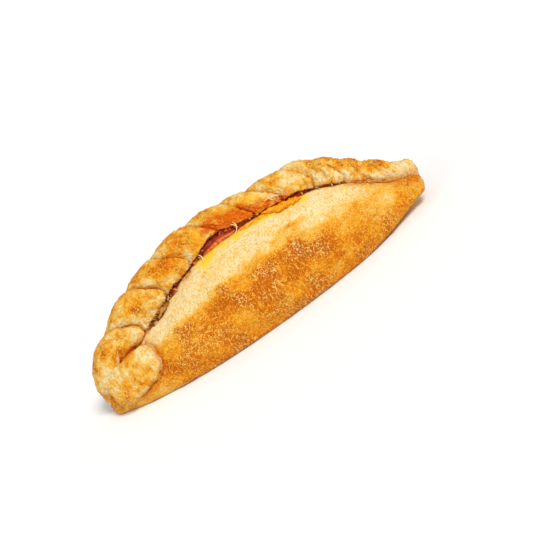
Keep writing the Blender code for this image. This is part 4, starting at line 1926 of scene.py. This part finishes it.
@dataclass
class SeamCrumbs:
    """Crumbs of pastry that cling along the seam, and flakes that hang over it."""

    shift: Array
    count: int = 60
    flakes: int = 36
    seed: int = 19
    curls: tuple = (
        (
            (-78.6, -8.7, 30.8, 0.4), (-80.6, -9.5, 27.7, 0.75), (-82.4, -9.9, 24.4, 0.75),
            (-83.7, -12.8, 22.2, 0.4),
        ),
        (
            (-75.8, -21.7, 12.8, 0.4), (-80.6, -20.7, 12.5, 0.65), (-85.2, -18.8, 11.6, 0.75),
            (-88.7, -15.8, 7.7, 0.65), (-90.6, -12.9, 2.9, 0.35),
        ),
    )

    def flake(self, random: np.random.Generator) -> Array:
        """Make one thin flake that hangs from the rope's edge over the seam.

        It starts a little above the seam, bows outwards and ends on or over the panel's lip.

        Args:
            random: The source of its place, length, slant and bow.

        Returns:
            The grid of points.
        """
        place = random.uniform(-0.058, -0.018) if random.random() < 0.6 else random.uniform(0.026, 0.086)
        share = np.linspace(0.0, 1.0, 9)[:, None]
        length = random.uniform(0.0010, 0.0022)
        slant = np.array((random.normal(0.2, 0.5), 0.0, 0.0))
        bow = random.uniform(0.0003, 0.0009) * np.sin(math.pi * share)
        start = seam_points(place) + 0.6 * length * ACROSS - 0.0007 * INWARD
        line = start - share * length * (ACROSS - slant) - bow * INWARD
        radii = random.uniform(0.00016, 0.00034) * np.sin(math.pi * (0.08 + 0.84 * share[:, 0])) ** 0.5
        return swept_tube(line, radii, 8, random.uniform(0.5, 1.0))

    def curl(self, corners: tuple) -> Array:
        """Make the thin curled edge of a fold, through corners of X, Y, Z and radius in mm.

        Args:
            corners: The corners of its middle line, each with its radius.

        Returns:
            The grid of points.
        """
        table = np.array(corners) / 1000.0
        share = np.linspace(0.0, 1.0, 60)
        line = fine_line(table[:, :3], 60)
        line = line + 0.0003 * noise(line, 0.002, 661)[:, None]
        radii = np.interp(share, np.linspace(0.0, 1.0, len(table)), table[:, 3])
        return swept_tube(line, radii * np.sin(math.pi * (0.03 + 0.94 * share)) ** 0.5, 12)

    def build(self) -> bpy.types.Object:
        """Build the crumbs: rough little stones scattered along the line of the seam.

        Each is a low sphere grid, stretched and turned at random and roughened by noise.

        Returns:
            The piece.
        """
        random = np.random.default_rng(self.seed)
        x = random.uniform(-0.060, 0.085, self.count)
        gap = split_half_gap(x)
        middle = seam_points(x)
        upper = random.random(self.count) < 0.6
        middle += np.where(upper, gap + 0.0009, -gap - 0.0006)[:, None] * ACROSS
        middle += random.normal(0.0, 0.00040, (self.count, 3))
        middle[:, 1] -= 0.0006
        size = 0.00018 + 0.00040 * random.random(self.count) ** 2
        rings, sides = 5, 7
        polar = np.linspace(0.15, math.pi - 0.15, rings)[:, None]
        ball = np.stack(ball_parts(polar, full_turn(sides)), axis=-1)
        stretch = random.uniform(0.5, 2.0, (self.count, 3))
        rough = random.uniform(0.75, 1.2, (self.count, rings, sides, 1))
        balls = middle[:, None, None] + size[:, None, None, None] * ball * stretch[:, None, None] * rough
        grids = list(balls)
        grids += [self.flake(random) for _ in range(self.flakes)]
        grids += [self.curl(corners) for corners in self.curls]
        browning = random.uniform(0.05, 0.40, len(grids))
        browning[: self.count] += 0.25
        tones = []
        for grid, tone in zip(grids, browning):
            even = np.ones(grid.shape[:2])
            # Each crumb, flake and curl takes a fixed quarter of the painted crease shade, which warms and
            # darkens it.
            tones.append(crust_tones(grid, tone * even, 0.25 * even))
        mesh = tubes_mesh("seam_crumbs", grids, tones)
        return add_piece(mesh, self.shift, Slot.CRUST)


# ---------------------------------------------------------------- studio


@dataclass
class Studio:
    """The plain pale floor, the soft lights and the camera."""

    elevation: float = 23.0
    roll: float = -34.77
    distance: float = 0.6819
    target: tuple = (0.00905, 0.0, 0.00796)
    lens: float = 85.0
    floor_reach: float = 30.0
    room_light: float = 0.485

    def floor(self) -> None:
        """Lay the floor: one pale matt sheet at the height of the base."""
        n = Nodes("pale_floor")
        n.surface(Base_Color=(0.93, 0.93, 0.93, 1.0), Roughness=0.9, Specular_IOR_Level=0.1)
        square = np.array(((-1.0, -1.0, 0.0), (1.0, -1.0, 0.0), (1.0, 1.0, 0.0), (-1.0, 1.0, 0.0)))
        mesh = new_mesh("floor", self.floor_reach * square, np.arange(4), np.array([4]))
        mesh.materials.append(n.material)
        new_object("floor", mesh)

    def light(self, name: str, source: tuple, spread: float, strength: float, colour: tuple) -> None:
        """Shine one broad, even light from a direction, with a soft spread in degrees.

        Args:
            name: The light's name.
            source: Where it shines from.
            spread: Its angle in degrees.
            strength: Its energy.
            colour: Its colour.
        """
        lamp = bpy.data.lights.new(name, "SUN")
        lamp.angle = math.radians(spread)
        lamp.energy = strength
        lamp.color = colour
        holder = new_object(name, lamp)
        holder.location = source
        holder.rotation_euler = (-Vector(source)).to_track_quat("-Z", "Y").to_euler()

    def camera(self) -> None:
        """Set the camera: it looks along +Y and down, and is rolled about its own axis."""
        pitch = math.radians(self.elevation)
        view = Vector((0.0, math.cos(pitch), -math.sin(pitch)))
        data = bpy.data.cameras.new("camera")
        data.lens = self.lens
        data.sensor_width = 36.0
        data.clip_start = 0.01
        data.clip_end = 60.0
        holder = new_object("camera", data)
        turn = view.to_track_quat("-Z", "Y").to_matrix().to_4x4()
        roll = Matrix.Rotation(math.radians(self.roll), 4, "Z")
        holder.matrix_world = Matrix.Translation(Vector(self.target) - view * self.distance) @ turn @ roll
        bpy.context.scene.camera = holder

    def build(self) -> None:
        """Set up the floor, the lights, the surrounding light and the camera."""
        self.floor()
        self.light("key_light", (0.45, -0.70, 1.0), 20.0, 2.30, (1.0, 0.99, 0.965))
        self.light("fill_light", (-0.8, -0.7, 0.6), 60.0, 0.45, (1.0, 0.99, 0.97))
        world = bpy.data.worlds.new("soft_room")
        world.use_nodes = True
        background = world.node_tree.nodes["Background"]
        background.inputs["Color"].default_value = (1.0, 1.0, 1.0, 1.0)
        background.inputs["Strength"].default_value = self.room_light
        bpy.context.scene.world = world
        bpy.context.scene.view_settings.view_transform = "Standard"
        bpy.context.scene.view_settings.look = "None"
        self.camera()


def frame_shift() -> Array:
    """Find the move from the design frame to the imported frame.

    The filling's solid starts and ends a set gap inside the split, and its lowest Y comes
    from the widest place of its strip, so its packed box gives the move.

    Returns:
        The move in X, Y and Z.
    """
    low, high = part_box("filling")
    middle = 0.5 * (SPLIT_STATIONS[0, 0] + SPLIT_STATIONS[-1, 0])
    x = filling_places(46)
    half = np.maximum(pocket_half_width(x, FILLING_SINK) - FILLING_GAP, LEAST_HALF_WIDTH)
    front = split_mouth(x) + FILLING_SINK * INWARD - half[:, None] * ACROSS
    return np.array((0.5 * (low.x + high.x) - middle, low.y - front[:, 1].min(), 0.0))


def main() -> None:
    """Build every piece in order, dress it and report it."""
    logging.basicConfig(level=logging.INFO, format="%(message)s")
    shift = frame_shift()
    log.info("shift %s", np.round(shift * 1000, 3))
    crust = CrustFinish().material()
    wet = [finish.material() for finish in WET_FINISHES]
    rope = RopeForm.from_path()
    crust_pieces = [
        Panels(shift, rope).build(),
        RopeCrimp(shift, rope).build(),
        EndPad(shift, rope).build(),
        SeamCrumbs(shift).build(),
    ]
    filling = SauceFilling(shift).build()
    strands = SeamStrands(shift).build()
    for piece in crust_pieces:
        piece.data.materials.append(crust)
    for piece, material in zip([filling, *strands], wet):
        piece.data.materials.append(material)
    Studio().build()


if __name__ == "__main__":
    main()
